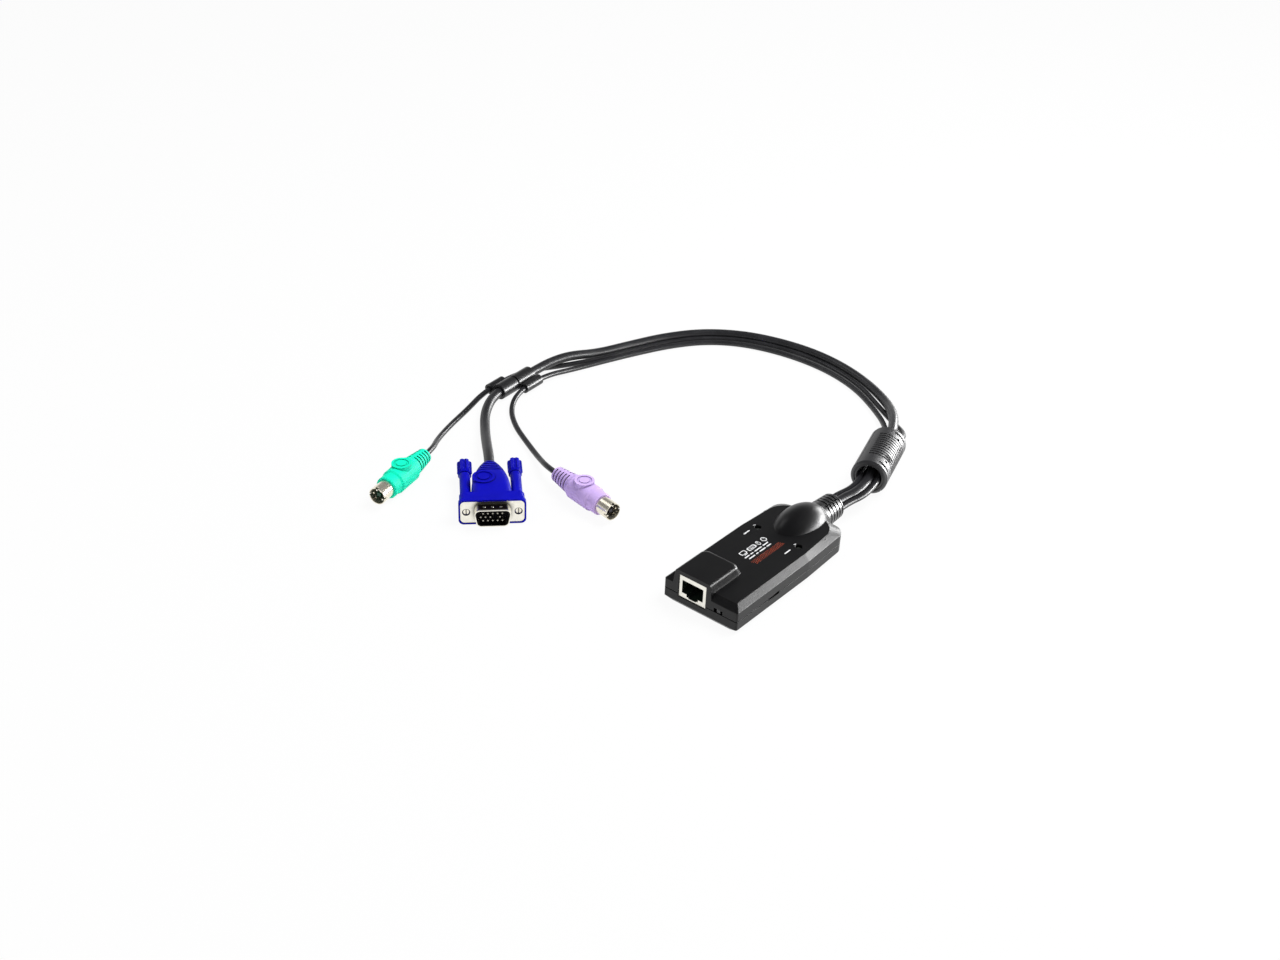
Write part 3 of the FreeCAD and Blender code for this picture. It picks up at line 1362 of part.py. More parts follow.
def hood_sections():
    """Distance behind the face, width, height and corner radius of the moulded hood."""
    return [
        (vga_flange_depth - vga_rim_depth, vga_hood_width, vga_hood_height, vga_hood_radius),
        (vga_hood_straight, vga_hood_width, vga_hood_height, vga_hood_radius),
        (vga_hood_shoulder, vga_shoulder_width, vga_shoulder_height, vga_hood_radius),
        (vga_hood_neck, (vga_hood_width + vga_tail_width) / 2, (vga_hood_height + vga_tail_height) / 2,
         vga_hood_radius),
        (vga_hood_length, vga_tail_width, vga_tail_height, vga_hood_radius),
    ]


def hood_loft(name, inset):
    """The hood's smooth body, moved in by an inset."""
    inset = as_size(inset)
    sections = []
    for number, (y, width, height, radius) in enumerate(hood_sections()):
        sections.append(section_sketch(f"{name}_section_{number}", y, width - inset * 2, height - inset * 2,
                                       radius - inset))
    return loft(name, sections, False)


def round_pad(name, x, y, radius, low, top, groove):
    """A raised round pad with a ring groove in its top."""
    outer = radius * pad_ring_outer
    inner = radius * pad_ring_inner
    disc = cylinder(name + "_disc", x, y, low, radius, as_size(top) - low)
    ring = cut(name + "_ring", cylinder(name + "_ring_outer", x, y, top - groove, outer, groove * 2),
               cylinder(name + "_ring_inner", x, y, top - groove * 2, inner, groove * 4))
    return cut(name, disc, ring)


def vga_hood():
    """The moulded hood: a rimmed flange, a tapering grip with ribs and a round pad."""
    slabs = []
    for number in range(vga_rib_count):
        start = vga_hood_length - vga_rib_margin - vga_rib_pitch * number
        slabs.append(box(f"vga_rib_{number}", -vga_hood_width, vga_hood_width, start, start + vga_rib_width,
                         -vga_hood_height, vga_hood_height))
    grip = cut("vga_grip", hood_loft("vga_grip_skin", 0), fuse("vga_ribs", slabs))
    solids = [
        slab("vga_rim", 0, vga_rim_depth, vga_flange_width, vga_flange_height, vga_flange_radius),
        slab("vga_flange", vga_rim_depth / 2, vga_flange_depth - vga_rim_depth / 2,
             vga_flange_width - vga_rim_step * 2, vga_flange_height - vga_rim_step * 2, vga_flange_radius),
        grip,
        hood_loft("vga_grip_core", vga_rib_depth),
        round_pad("vga_pad", vga_pad_x, vga_pad_y, vga_pad_radius, 0, vga_hood_height / 2 + vga_pad_rise,
                  vga_pad_groove)]
    rooms = [
        slab("vga_plate_recess", -vga_plate_setback, vga_plate_setback * 2 + vga_plate_sheet,
             vga_plate_width + vga_plate_gap * 2, vga_plate_height + vga_plate_gap * 2, vga_plate_radius),
        dee("vga_room", -vga_shell_sheet, 0, vga_insulator_depth)]
    wall = vga_knob_start - knob_end_gap
    for side in (-1, 1):
        x = vga_screw_pitch / 2 * side
        rooms.append(level_cylinder(f"vga_screw_way_{side + 1}", x, -1, 0, vga_screw_hole_radius, wall + 2))
        rooms.append(level_cylinder(f"vga_knob_way_{side + 1}", x, wall, 0, vga_shank_radius + running_gap,
                                    vga_flange_depth))
    hood = cut("vga_hood_cut", fuse("vga_hood_solids", solids), fuse("vga_hood_rooms", rooms))
    return keep(settle(hood, vga_pose), "vga_hood")


def vga_shell():
    """The stamped shell: its D-shaped skirt with three dimples and the plate it stands on."""
    front = vga_plate_setback - vga_shell_reach
    back = vga_plate_setback + vga_plate_sheet
    plate = slab("vga_plate", vga_plate_setback, vga_plate_sheet, vga_plate_width, vga_plate_height,
                 vga_plate_radius)
    solids = [plate, dee("vga_skirt", 0, front, vga_shell_reach + vga_plate_sheet)]
    for side in (-1, 0, 1):
        bump = doc.addObject("Part::Sphere", f"vga_dimple_{side + 1}")
        bind(bump, Radius=vga_dimple_radius, Placement__Base__x=vga_dimple_pitch * side,
             Placement__Base__y=front + vga_shell_reach / 2,
             Placement__Base__z=vga_shell_height / 2 - vga_dimple_radius / 2)
        solids.append(bump)
    holes = [dee("vga_skirt_room", -vga_shell_sheet, front - 1, vga_shell_reach + vga_plate_sheet + 2)]
    for side in (-1, 1):
        holes.append(level_cylinder(f"vga_plate_hole_{side + 1}", vga_screw_pitch / 2 * side, -1, 0,
                                    vga_screw_hole_radius, back + 2))
    shell = cut("vga_shell_cut", fuse("vga_shell_solids", solids), fuse("vga_shell_holes", holes))
    return keep(settle(shell, vga_pose), "vga_shell")


def vga_insulator():
    """The dark block that fills the shell's root and carries the pins."""
    block = dee("vga_insulator_block", -vga_shell_sheet, vga_plate_setback,
                vga_insulator_depth - vga_plate_setback)
    return keep(settle(block, vga_pose), "vga_insulator")


def vga_pins():
    """Fourteen pins in three rows, the middle row half a step aside with one place empty."""
    pins = []
    length = vga_shell_reach - vga_pin_recess
    for row, shift, places in VGA_PIN_ROWS:
        for place_number in places:
            x = vga_pin_pitch * (place_number - 2 + shift)
            pins.append(level_cylinder(f"vga_pin_{row + 1}_{place_number}", x, vga_plate_setback - length,
                                       vga_row_pitch * row, vga_pin_radius, length))
    return keep(settle(fuse("vga_pin_rows", pins), vga_pose), "vga_pins")


def thumbscrew(label, side):
    """A moulded knob with a smooth shank and a fluted head, and the steel screw in it."""
    x = vga_screw_pitch / 2 * side
    body = doc.addObject("PartDesign::Body", label + "_knob")
    bind(body, Placement__Base__x=x)
    neck = vga_shank_radius - knob_groove_depth
    chamfer = knob_groove_depth
    profile = new_sketch(body, label + "_profile", "XY_Plane")
    draw_polygon(profile, [
        (0, vga_knob_start), (vga_shank_radius, vga_knob_start), (vga_shank_radius, vga_head_start),
        (neck, vga_head_start), (neck, vga_head_start + knob_groove_width),
        (vga_shank_radius, vga_head_start + knob_groove_width),
        (vga_head_radius, vga_head_start + knob_groove_width * 3), (vga_head_radius, vga_knob_end - chamfer),
        (vga_head_radius - chamfer, vga_knob_end), (0, vga_knob_end)])
    revolve(body, profile)
    flute = new_sketch(body, label + "_flute", "XZ_Plane", -vga_knob_end)
    draw_circle(flute, 0, vga_head_radius + vga_flute_radius / 4, vga_flute_radius)
    groove = pocket(body, flute, vga_knob_end - vga_head_start - knob_groove_width, backward=True)
    ring = body.newObject("PartDesign::PolarPattern", label + "_flutes")
    ring.Originals = [groove]
    ring.Axis = (flute, ["N_Axis"])
    ring.Angle = 360.0
    ring.Occurrences = vga_flute_count
    body.Tip = ring
    bore = level_cylinder(label + "_bore", x, 0, 0, vga_screw_radius, vga_screw_end)
    knob = cut(label + "_cut", body, bore)
    keep(settle(knob, vga_pose), label)
    screw = level_cylinder(label + "_steel", x, vga_screw_tip, 0, vga_screw_radius,
                           vga_screw_end - vga_screw_tip)
    slot = box(label + "_slot", x - vga_slot_width / 2, x + vga_slot_width / 2, vga_screw_tip - 1,
               vga_screw_tip + vga_slot_width, -vga_shank_radius, vga_shank_radius)
    steel = cut(label + "_screw_cut", screw, slot)
    keep(settle(steel, vga_pose), label.replace("thumbscrew", "screw"))


# ---------------------------------------------------------------------------
# Keyboard and mouse plugs. Their own frame: the tip at y = 0 and the cord at +Y.
# ---------------------------------------------------------------------------

def din_body(label, pose):
    """The moulded grip with its nose, round pad and ribbed tail."""
    blank = doc.addObject("PartDesign::Body", label + "_blank")
    nose = din_shell_reach
    root = nose + din_shell_root
    profile = new_sketch(blank, label + "_profile", "XY_Plane")
    draw_polygon(profile, [
        (din_neck_radius, nose), (din_collar_radius - din_edge, nose), (din_collar_radius, nose + din_edge),
        (din_collar_radius, din_grip_start - din_edge), (din_grip_radius, din_grip_start + din_edge),
        (din_grip_radius, din_grip_end), (din_waist_radius, din_grip_end + din_edge * 4),
        (din_tail_radius, din_plug_length), (0, din_plug_length), (0, root), (din_neck_radius, root)])
    revolve(blank, profile)
    wide = din_grip_radius
    bridge = din_bridge_width / 2
    slots = []
    for number in range(din_rib_count):
        start = din_grip_end + din_rib_margin + din_rib_pitch * number
        for name, left, right in (("left", -wide, -bridge), ("right", bridge, wide)):
            slots.append(box(f"{label}_slot_{number}_{name}", left, right, start, start + din_rib_width,
                             -wide, wide))
    core = doc.addObject("Part::Cone", label + "_slot_core")
    core.Placement = Placement(Vector(0, 0, 0), Rotation(X_AXIS, -90))
    bind(core, Radius1=din_waist_radius - din_rib_depth, Radius2=din_tail_radius - din_rib_depth,
         Height=din_plug_length - din_grip_end, Placement__Base__y=din_grip_end)
    grooves = cut(label + "_grooves", fuse(label + "_slots", slots), core)
    raised = round_pad(label + "_pad", 0, din_pad_centre, din_pad_radius, 0, din_grip_radius + din_pad_rise,
                       din_pad_groove)
    grip = cut(label + "_cut", fuse(label + "_solids", [blank, raised]), grooves)
    keep(settle(grip, pose), label + "_body")


def din_plug(label, pose, roll):
    """A six-pin plug: grip, metal shell with its keyways, insulator with a key, and pins."""
    din_body(label, pose)
    root = din_shell_reach + din_shell_root
    inner = din_shell_radius - din_shell_sheet
    sleeve = din_shell_reach - din_neck_length
    outer = fuse(label + "_tube_outer", [
        level_cylinder(label + "_tube_sleeve", 0, 0, 0, din_shell_radius, sleeve),
        level_cylinder(label + "_tube_neck", 0, sleeve, 0, din_neck_radius, root - sleeve)])
    tube = cut(label + "_tube", outer,
               level_cylinder(label + "_tube_inner", 0, -1, 0, inner, root + 2))
    notches = []
    for number, (x, z, wide, tall) in enumerate(((0, 1, din_notch_width, din_shell_radius),
                                                 (-1, 0, din_shell_radius, din_notch_width / 2),
                                                 (1, 0, din_shell_radius, din_notch_width / 2))):
        notches.append(box(f"{label}_notch_{number}", as_size(wide) / -2 + din_shell_radius * x,
                           as_size(wide) / 2 + din_shell_radius * x, -1, din_notch_length,
                           as_size(tall) / -2 + din_shell_radius * z,
                           as_size(tall) / 2 + din_shell_radius * z))
    shell = cut(label + "_shell_cut", tube, fuse(label + "_notches", notches))
    keep(settle(shell, pose, roll), label + "_shell")
    face = din_insulator_recess
    block = level_cylinder(label + "_insulator_disc", 0, face, 0, inner, root - face)
    key = box(label + "_key", -(din_key_width / 2), din_key_width / 2, din_pin_recess, face + 1,
              -(din_key_height / 2), din_key_height / 2)
    keep(settle(fuse(label + "_insulator_solids", [block, key]), pose, roll), label + "_insulator")
    pins = []
    for number, (x, z) in enumerate(DIN_PIN_PLACES):
        pins.append(level_cylinder(f"{label}_pin_{number}", din_pin_circle * x, din_pin_recess,
                                   din_pin_circle * z, din_pin_radius, face - din_pin_recess))
    keep(settle(fuse(label + "_pin_set", pins), pose, roll), label + "_pins")


# ---------------------------------------------------------------------------
# The whole thing
# ---------------------------------------------------------------------------

top_shell()
bottom_shell()
housing_screws()
circuit_board()
chip("main_chip", main_chip_x, main_chip_y, main_chip_side, main_chip_height)
chip("video_chip", video_chip_x, video_chip_y, video_chip_side, video_chip_height)
board_block("crystal", crystal_x, crystal_y, crystal_length, crystal_width, crystal_height, crystal_width / 3)
board_block("pulse_transformer", jack_offset, transformer_y, transformer_width, transformer_length,
            transformer_height, component_radius)
capacitors()
cord_headers()
jack()
jack_contacts()
switch()
lamp("online_lamp", online_lamp_x)
lamp("power_lamp", power_lamp_x)
strain_relief()
cord("video_cord", VIDEO_ROUTE, video_diameter)
cord("keyboard_cord", KEYBOARD_ROUTE, thin_diameter)
cord("mouse_cord", MOUSE_ROUTE, thin_diameter)
ferrite_filter()
cord_clip()
vga_hood()
vga_shell()
vga_insulator()
vga_pins()
thumbscrew("left_thumbscrew", -1)
thumbscrew("right_thumbscrew", 1)
din_plug("keyboard_plug", keyboard_pose, keyboard_roll)
din_plug("mouse_plug", mouse_pose, mouse_roll)

doc.recompute()
faults = [item.Name for item in doc.Objects if {"Invalid", "Error"} & set(item.State)]
if faults:
    raise RuntimeError("objects that failed: " + ", ".join(faults))
os.makedirs("parts", exist_ok=True)
for thing in parts:
    shape = thing.Shape
    if shape.isNull() or not shape.isValid() or not shape.Solids:
        raise RuntimeError(f"{thing.Label} has no valid solid")
    shape.exportStep(f"parts/{thing.Label}.step")
    print(f"{thing.Label}: {len(shape.Solids)} solid(s), {shape.Volume:.1f} mm3")
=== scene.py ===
"""Looks of the kvm dongle: a camera, three cords, a finish for every piece and the print on the deck."""

from __future__ import annotations

import logging
import math
from dataclasses import dataclass
from enum import Enum
from typing import Any, Sequence, Union

import bmesh
import bpy
import numpy as np
from mathutils import Matrix, Vector


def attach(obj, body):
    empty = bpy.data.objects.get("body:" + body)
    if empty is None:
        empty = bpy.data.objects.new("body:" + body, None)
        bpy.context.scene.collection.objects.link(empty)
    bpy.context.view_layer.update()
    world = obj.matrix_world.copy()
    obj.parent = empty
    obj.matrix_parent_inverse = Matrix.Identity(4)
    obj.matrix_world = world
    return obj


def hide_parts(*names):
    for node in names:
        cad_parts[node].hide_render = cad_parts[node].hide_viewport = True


LOG = logging.getLogger("kvm_dongle")
MM = 0.001
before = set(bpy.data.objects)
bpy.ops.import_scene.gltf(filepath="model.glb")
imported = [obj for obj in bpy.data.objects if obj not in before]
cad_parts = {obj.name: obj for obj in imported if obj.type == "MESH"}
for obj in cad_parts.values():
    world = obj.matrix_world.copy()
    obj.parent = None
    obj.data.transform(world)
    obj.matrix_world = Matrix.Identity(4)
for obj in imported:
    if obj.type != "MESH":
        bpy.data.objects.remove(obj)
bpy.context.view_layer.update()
ADAPTER = "adapter"
WHITE = (1.0, 1.0, 1.0)

Number = Union["Amount", float, int]
Colour = tuple[float, float, float]
Point = tuple[float, float, float]


class Purpose(Enum):
    """What a lamp is for: the even colour of a face, or the gloss on it."""

    COLOUR = "colour"
    GLOSS = "gloss"


class Rim(Enum):
    """How the corners of a printed mark are cut: the power n of its stretched disc."""

    SOFT = 5.0
    ROUND = 2.0


# ---------------------------------------------------------------- nodes


class Amount:
    """A number that a finish works out over a surface, with Python's own arithmetic."""

    def __init__(self, recipe: Recipe, socket: Any) -> None:
        """Wraps one output socket.

        Args:
            recipe: the nodes it belongs to.
            socket: the output that carries the number.
        """
        self.recipe = recipe
        self.socket = socket

    def _with(self, operation: str, first: Number, second: Number) -> Amount:
        """One Math node.

        Args:
            operation: what the node does.
            first: its first number.
            second: its second number.

        Returns:
            The number that comes out.
        """
        node = self.recipe.node("ShaderNodeMath", {"operation": operation}, {0: first, 1: second})
        return Amount(self.recipe, node.outputs[0])

    def __add__(self, other: Number) -> Amount:
        """Sum."""
        return self._with("ADD", self, other)

    __radd__ = __add__

    def __mul__(self, other: Number) -> Amount:
        """Product."""
        return self._with("MULTIPLY", self, other)

    __rmul__ = __mul__

    def __sub__(self, other: Number) -> Amount:
        """Difference."""
        return self._with("SUBTRACT", self, other)

    def __rsub__(self, other: Number) -> Amount:
        """Difference, the other way about."""
        return self._with("SUBTRACT", other, self)


@dataclass(frozen=True)
class Cloud:
    """A cloudy pattern: the size of one cloud in metres, its finer layers, its stretch and its turn.

    detail says how many finer layers there are and roughness how strong they are. stretch says how
    much finer the pattern is along each axis, and turn is in degrees about the upright axis.
    """

    size: float
    detail: float = 2.0
    roughness: float = 0.5
    stretch: Point = (1.0, 1.0, 1.0)
    turn: float = 0.0


class Recipe:
    """The nodes of one material or of the world."""

    MIX_SHARE, MIX_FIRST, MIX_SECOND, MIX_RESULT = 0, 6, 7, 2
    AIR_SAMPLES = 8
    AIR_RANGE = (0.45, 0.95)
    EDGE_SAMPLES = 8

    def __init__(self, owner: bpy.types.Material | bpy.types.World, output: str) -> None:
        """Starts with an output that nothing is on.

        Args:
            owner: the material or the world.
            output: the output node's type.
        """
        owner.use_nodes = True
        self.tree = owner.node_tree
        self.tree.nodes.clear()
        self.output = self.node(output)

    def node(self, kind: str, settings: dict[str, Any] | None = None,
             sockets: dict[Any, Any] | None = None) -> bpy.types.Node:
        """Adds any node.

        Args:
            kind: the node's type.
            settings: what is set on the node first.
            sockets: a value, an Amount or a socket for each input, by name or number.

        Returns:
            The node.
        """
        made = self.tree.nodes.new(kind)
        for key, value in (settings or {}).items():
            setattr(made, key, value)
        for key, value in (sockets or {}).items():
            self.feed(made.inputs[key], value)
        return made

    def feed(self, socket: Any, value: Any) -> None:
        """Links or sets one input.

        Args:
            socket: the input.
            value: an Amount, an output socket or a plain value.
        """
        if isinstance(value, Amount):
            value = value.socket
        if isinstance(value, bpy.types.NodeSocket):
            self.tree.links.new(value, socket)
        elif isinstance(value, tuple) and len(value) == 3 and socket.type == "RGBA":
            socket.default_value = (*value, 1.0)
        else:
            socket.default_value = value

    def show(self, shader: bpy.types.Node) -> None:
        """Puts a shader on the output."""
        self.feed(self.output.inputs[0], shader.outputs[0])

    def place(self, stretch: Point = (1.0, 1.0, 1.0), turn: float = 0.0) -> Any:
        """The place on the piece, in metres.

        Args:
            stretch: how much finer a pattern gets along each axis.
            turn: degrees about the upright axis.

        Returns:
            A vector socket.
        """
        coords = self.node("ShaderNodeTexCoord").outputs["Object"]
        mapping = self.node("ShaderNodeMapping", {"vector_type": "TEXTURE"}, {"Vector": coords})
        mapping.inputs["Rotation"].default_value = (0.0, 0.0, math.radians(turn))
        mapping.inputs["Scale"].default_value = tuple(1.0 / part for part in stretch)
        return mapping.outputs[0]

    def parts(self, vector: Any) -> list[Amount]:
        """The three parts of a vector socket."""
        return [Amount(self, part) for part in self.node("ShaderNodeSeparateXYZ", {}, {0: vector}).outputs]

    def rays(self, *kinds: str) -> list[Amount]:
        """1 for the rays of each kind that is named, else 0."""
        path = self.node("ShaderNodeLightPath").outputs
        return [Amount(self, path[f"Is {kind} Ray"]) for kind in kinds]

    def noise(self, cloud: Cloud) -> Amount:
        """Cloudy variation from 0 to 1 about a half.

        Args:
            cloud: the pattern.

        Returns:
            The variation.
        """
        made = self.node("ShaderNodeTexNoise", {}, {
            "Vector": self.place(cloud.stretch, cloud.turn), "Scale": 1.0 / cloud.size,
            "Detail": cloud.detail, "Roughness": cloud.roughness})
        return Amount(self, made.outputs[0])

    def range(self, value: Number, low: float, high: float) -> Amount:
        """Stretches a value so that low becomes 0 and high 1, and stops there.

        Args:
            value: what is stretched.
            low: the value that becomes 0.
            high: the value that becomes 1.

        Returns:
            The stretched value.
        """
        made = self.node("ShaderNodeMapRange", {"clamp": True}, {
            "Value": value, "From Min": low, "From Max": high})
        return Amount(self, made.outputs[0])

    def blend(self, share: Number, first: Any, second: Any) -> Any:
        """Mixes two colours.

        Args:
            share: how much of the second, from 0 to 1.
            first: one colour, a socket or a tuple.
            second: the other colour.

        Returns:
            A colour socket.
        """
        made = self.node("ShaderNodeMix", {"data_type": "RGBA"}, {
            self.MIX_SHARE: share, self.MIX_FIRST: first, self.MIX_SECOND: second})
        return made.outputs[self.MIX_RESULT]

    def relief(self, height: Number, depth: float, under: Any = None) -> Any:
        """Raises the surface by a height from 0 to 1.

        Args:
            height: the height.
            depth: what a height of 1 is in metres.
            under: a normal that it lies on, if any.

        Returns:
            A normal socket.
        """
        sockets = {"Height": height, "Distance": depth, "Strength": 1.0}
        if under is not None:
            sockets["Normal"] = under
        return self.node("ShaderNodeBump", {}, sockets).outputs[0]

    def rounded(self, radius: float) -> Any:
        """The normal of a surface with rounded edges.

        Args:
            radius: the edges' radius in metres.

        Returns:
            A normal socket, or None where the radius is 0.
        """
        if radius <= 0.0:
            return None
        return self.node("ShaderNodeBevel", {"samples": self.EDGE_SAMPLES}, {"Radius": radius}).outputs[0]

    def buried(self, reach: float) -> Amount:
        """How deep a place lies in a groove, a hole or a corner of its own piece.

        Args:
            reach: how far its neighbours count, in metres.

        Returns:
            0 in the open and 1 deep inside.
        """
        air = self.node("ShaderNodeAmbientOcclusion", {"only_local": True, "samples": self.AIR_SAMPLES},
                        {"Distance": reach})
        return 1.0 - self.range(Amount(self, air.outputs["AO"]), *self.AIR_RANGE)


class Coating(Recipe):
    """The nodes of a piece's material: one shader on the output."""

    def __init__(self, name: str) -> None:
        """Starts a material.

        Args:
            name: the material's name.
        """
        self.material = bpy.data.materials.new(name)
        super().__init__(self.material, "ShaderNodeOutputMaterial")
        self.shader = self.node("ShaderNodeBsdfPrincipled")
        self.show(self.shader)

    def lay(self, **values: Any) -> None:
        """Feeds inputs of the shader, each under its own name with _ for a space."""
        for name, value in values.items():
            self.feed(self.shader.inputs[name.replace("_", " ")], value)


# ---------------------------------------------------------------- finishes


def shade(colour: Colour, factor: float, lift: float = 0.0) -> Colour:
    """A colour made darker or paler by a factor and then lifted, up to white."""
    return tuple(min(1.0, part * factor + lift) for part in colour)


@dataclass(frozen=True)
class Finish:
    """What every finish has: a name, a colour and how sharp and strong its gloss is."""

    name: str
    colour: Colour
    roughness: float
    shine: float = 0.5
    coat: float = 0.0

    def material(self) -> bpy.types.Material:
        """Makes the material.

        Returns:
            The material, with its even values set and the rest painted.
        """
        coating = Coating(self.name)
        coating.lay(Specular_IOR_Level=self.shine, Coat_Weight=self.coat, Coat_Roughness=self.roughness)
        self.paint(coating)
        return coating.material

    def paint(self, coating: Coating) -> None:
        """Gives the shader its colour, roughness and normal."""
        raise NotImplementedError


@dataclass(frozen=True)
class Moulding(Finish):
    """Moulded plastic: a fine spark-eroded grain, faint flow clouds, handling haze, and painted shade that
    darkens the colour in crevices and grooves.
    """

    FLOW = Cloud(0.009, 3.0, 0.55, (1.0, 0.45, 1.0))
    FLOW_RANGE = (0.3, 0.7)
    FLOW_LIFT = 0.0006
    WIPE = Cloud(0.013, 4.0, 0.6, (1.0, 3.0, 1.0), 24.0)
    GRAIN_ROUGHNESS = 0.6
    GRAIN_HAZE = 0.06
    CREVICE_HAZE = 0.45
    CREVICE_SHADE = 0.12

    grain: float = 0.00022
    depth: float = 0.0000035
    cloud: float = 0.10
    haze: float = 0.07
    # The share of painted shade that darkens the colour in hollows, found by ambient occlusion within the
    # reach, in metres.
    painted_shade: float = 0.75
    reach: float = 0.0014
    soft_edge: float = 0.0

    def paint(self, coating: Coating) -> None:
        """Gives the shader its colour, roughness and normal.

        Args:
            coating: the material's nodes.
        """
        flow = coating.range(coating.noise(self.FLOW), *self.FLOW_RANGE)
        clouds = coating.blend(flow, shade(self.colour, 1.0 - self.cloud),
                               shade(self.colour, 1.0 + self.cloud, self.FLOW_LIFT))
        buried = coating.buried(self.reach)
        grain = coating.noise(Cloud(self.grain, roughness=self.GRAIN_ROUGHNESS))
        wipe = coating.noise(self.WIPE)
        haze = self.haze * (wipe - 0.5) + self.GRAIN_HAZE * (grain - 0.5) + self.CREVICE_HAZE * buried
        # Painted shade: the colour is darkened towards deep where ambient occlusion finds crevices, grooves
        # and holes.
        deep = shade(self.colour, self.CREVICE_SHADE)
        coating.lay(Base_Color=coating.blend(buried * self.painted_shade, clouds, deep),
                    Roughness=self.roughness + haze,
                    Normal=coating.relief(grain, self.depth, coating.rounded(self.soft_edge)))


@dataclass(frozen=True)
class PaintedDarkReflection:
    """A painted dark reflection: brown-black colour on the upward faces in front of an upright plane, which
    lies turned in the part frame, standing in for the dark overhead mirrored in the plating.

    The plane's start is in millimetres and its turn in degrees. The depth, and where the near and
    the far edge fade, are in metres.
    """

    LEVEL_RANGE = (0.86, 0.97)
    NEAR_RANGE = (0.0002, 0.0005)
    FAR_RANGE = (-0.0012, -0.0008)

    start: Point
    turn: float
    depth: float
    colour: Colour = (0.035, 0.022, 0.016)

    def cover(self, recipe: Recipe) -> Amount:
        """Where the painted dark reflection lies: upward faces whose way in front of the plane is between 0
        and the depth.

        Args:
            recipe: the material's nodes.

        Returns:
            1 on the oxide and 0 elsewhere.
        """
        turn = math.radians(self.turn)
        x, y, _ = recipe.parts(recipe.place())
        ahead = (x - self.start[0] * MM) * math.sin(turn) - (y - self.start[1] * MM) * math.cos(turn)
        upward = recipe.parts(recipe.node("ShaderNodeNewGeometry").outputs["Normal"])[2]
        far = recipe.range(ahead, *(self.depth + part for part in self.FAR_RANGE))
        return recipe.range(upward, *self.LEVEL_RANGE) * recipe.range(ahead, *self.NEAR_RANGE) * (1.0 - far)


@dataclass(frozen=True)
class Plating(Finish):
    """Plated sheet or wire: metal with a faint draw direction, dull clouds, painted shade that darkens the
    colour in crevices, and an optional painted dark reflection on upward faces.
    """

    DULL = Cloud(0.0025, 3.0, 0.6)
    DULL_RANGE = (0.35, 0.75)
    DULL_SHADE = 0.86
    DULL_HAZE = 0.05
    DRAWN = Cloud(0.0009, stretch=(1.0, 9.0, 1.0), turn=40.0)
    DRAWN_DEPTH = 0.0000015
    CREVICE_SHADE = 0.06

    streak: float = 0.06
    metal: float = 1.0
    # The share of painted shade that darkens the colour in hollows, found by ambient occlusion within the
    # reach, in metres.
    painted_shade: float = 0.85
    reach: float = 0.004
    # An optional painted dark reflection on upward faces.
    painted_dark_reflection: PaintedDarkReflection | None = None

    def paint(self, coating: Coating) -> None:
        """Gives the shader its colour, roughness, metal and normal.

        Args:
            coating: the material's nodes.
        """
        dull = coating.noise(self.DULL)
        clouds = coating.blend(coating.range(dull, *self.DULL_RANGE), self.colour,
                               shade(self.colour, self.DULL_SHADE))
        # Painted dark reflection: a brown-black colour on the upward faces in front of the plane.
        if self.painted_dark_reflection is not None:
            clouds = coating.blend(self.painted_dark_reflection.cover(coating), clouds, self.painted_dark_reflection.colour)
        # Painted shade: ambient occlusion darkens the colour in crevices and holes.
        inside = coating.buried(self.reach) * self.painted_shade
        drawn = coating.noise(self.DRAWN)
        coating.lay(Base_Color=coating.blend(inside, clouds, shade(self.colour, self.CREVICE_SHADE)),
                    Metallic=self.metal,
                    Roughness=self.roughness + self.streak * (drawn - 0.5) + self.DULL_HAZE * dull,
                    Normal=coating.relief(drawn, self.DRAWN_DEPTH))


@dataclass(frozen=True)
class Jacket(Finish):
    """Extruded cord jacket: a slick skin with slow swells and dull rubbed patches."""

    RUBBED = Cloud(0.016, 3.0, 0.6)
    RUBBED_RANGE = (0.45, 0.75)
    RUBBED_HAZE = 0.09
    DUST_SHADE, DUST_LIFT = 1.5, 0.004
    SKIN = Cloud(0.0004, roughness=0.55)
    SKIN_HAZE = 0.08
    SKIN_DEPTH = 0.000004
    SWELL = Cloud(0.004)
    SWELL_DEPTH = 0.00001

    def paint(self, coating: Coating) -> None:
        """Gives the shader its colour, roughness and normal.

        Args:
            coating: the material's nodes.
        """
        rubbed = coating.range(coating.noise(self.RUBBED), *self.RUBBED_RANGE)
        skin = coating.noise(self.SKIN)
        slow = coating.relief(coating.noise(self.SWELL), self.SWELL_DEPTH)
        dusty = shade(self.colour, self.DUST_SHADE, self.DUST_LIFT)
        coating.lay(Base_Color=coating.blend(rubbed, self.colour, dusty),
                    Roughness=self.roughness + self.RUBBED_HAZE * rubbed + self.SKIN_HAZE * (skin - 0.5),
                    Normal=coating.relief(skin, self.SKIN_DEPTH, slow))


@dataclass(frozen=True)
class Sintered(Finish):
    """Pressed and fired ceramic: dull, speckled and faintly ground."""

    SPECK = Cloud(0.0003, 3.0, 0.7)
    SPECK_RANGE = (0.35, 0.7)
    SPECK_SHADE, SPECK_LIFT = 1.6, 0.01
    SPECK_HAZE = 0.15
    SPECK_DEPTH = 0.00001

    def paint(self, coating: Coating) -> None:
        """Gives the shader its colour, roughness and normal.

        Args:
            coating: the material's nodes.
        """
        speck = coating.range(coating.noise(self.SPECK), *self.SPECK_RANGE)
        pale = shade(self.colour, self.SPECK_SHADE, self.SPECK_LIFT)
        coating.lay(Base_Color=coating.blend(speck, self.colour, pale),
                    Roughness=self.roughness + self.SPECK_HAZE * (speck - 0.5),
                    Normal=coating.relief(speck, self.SPECK_DEPTH))


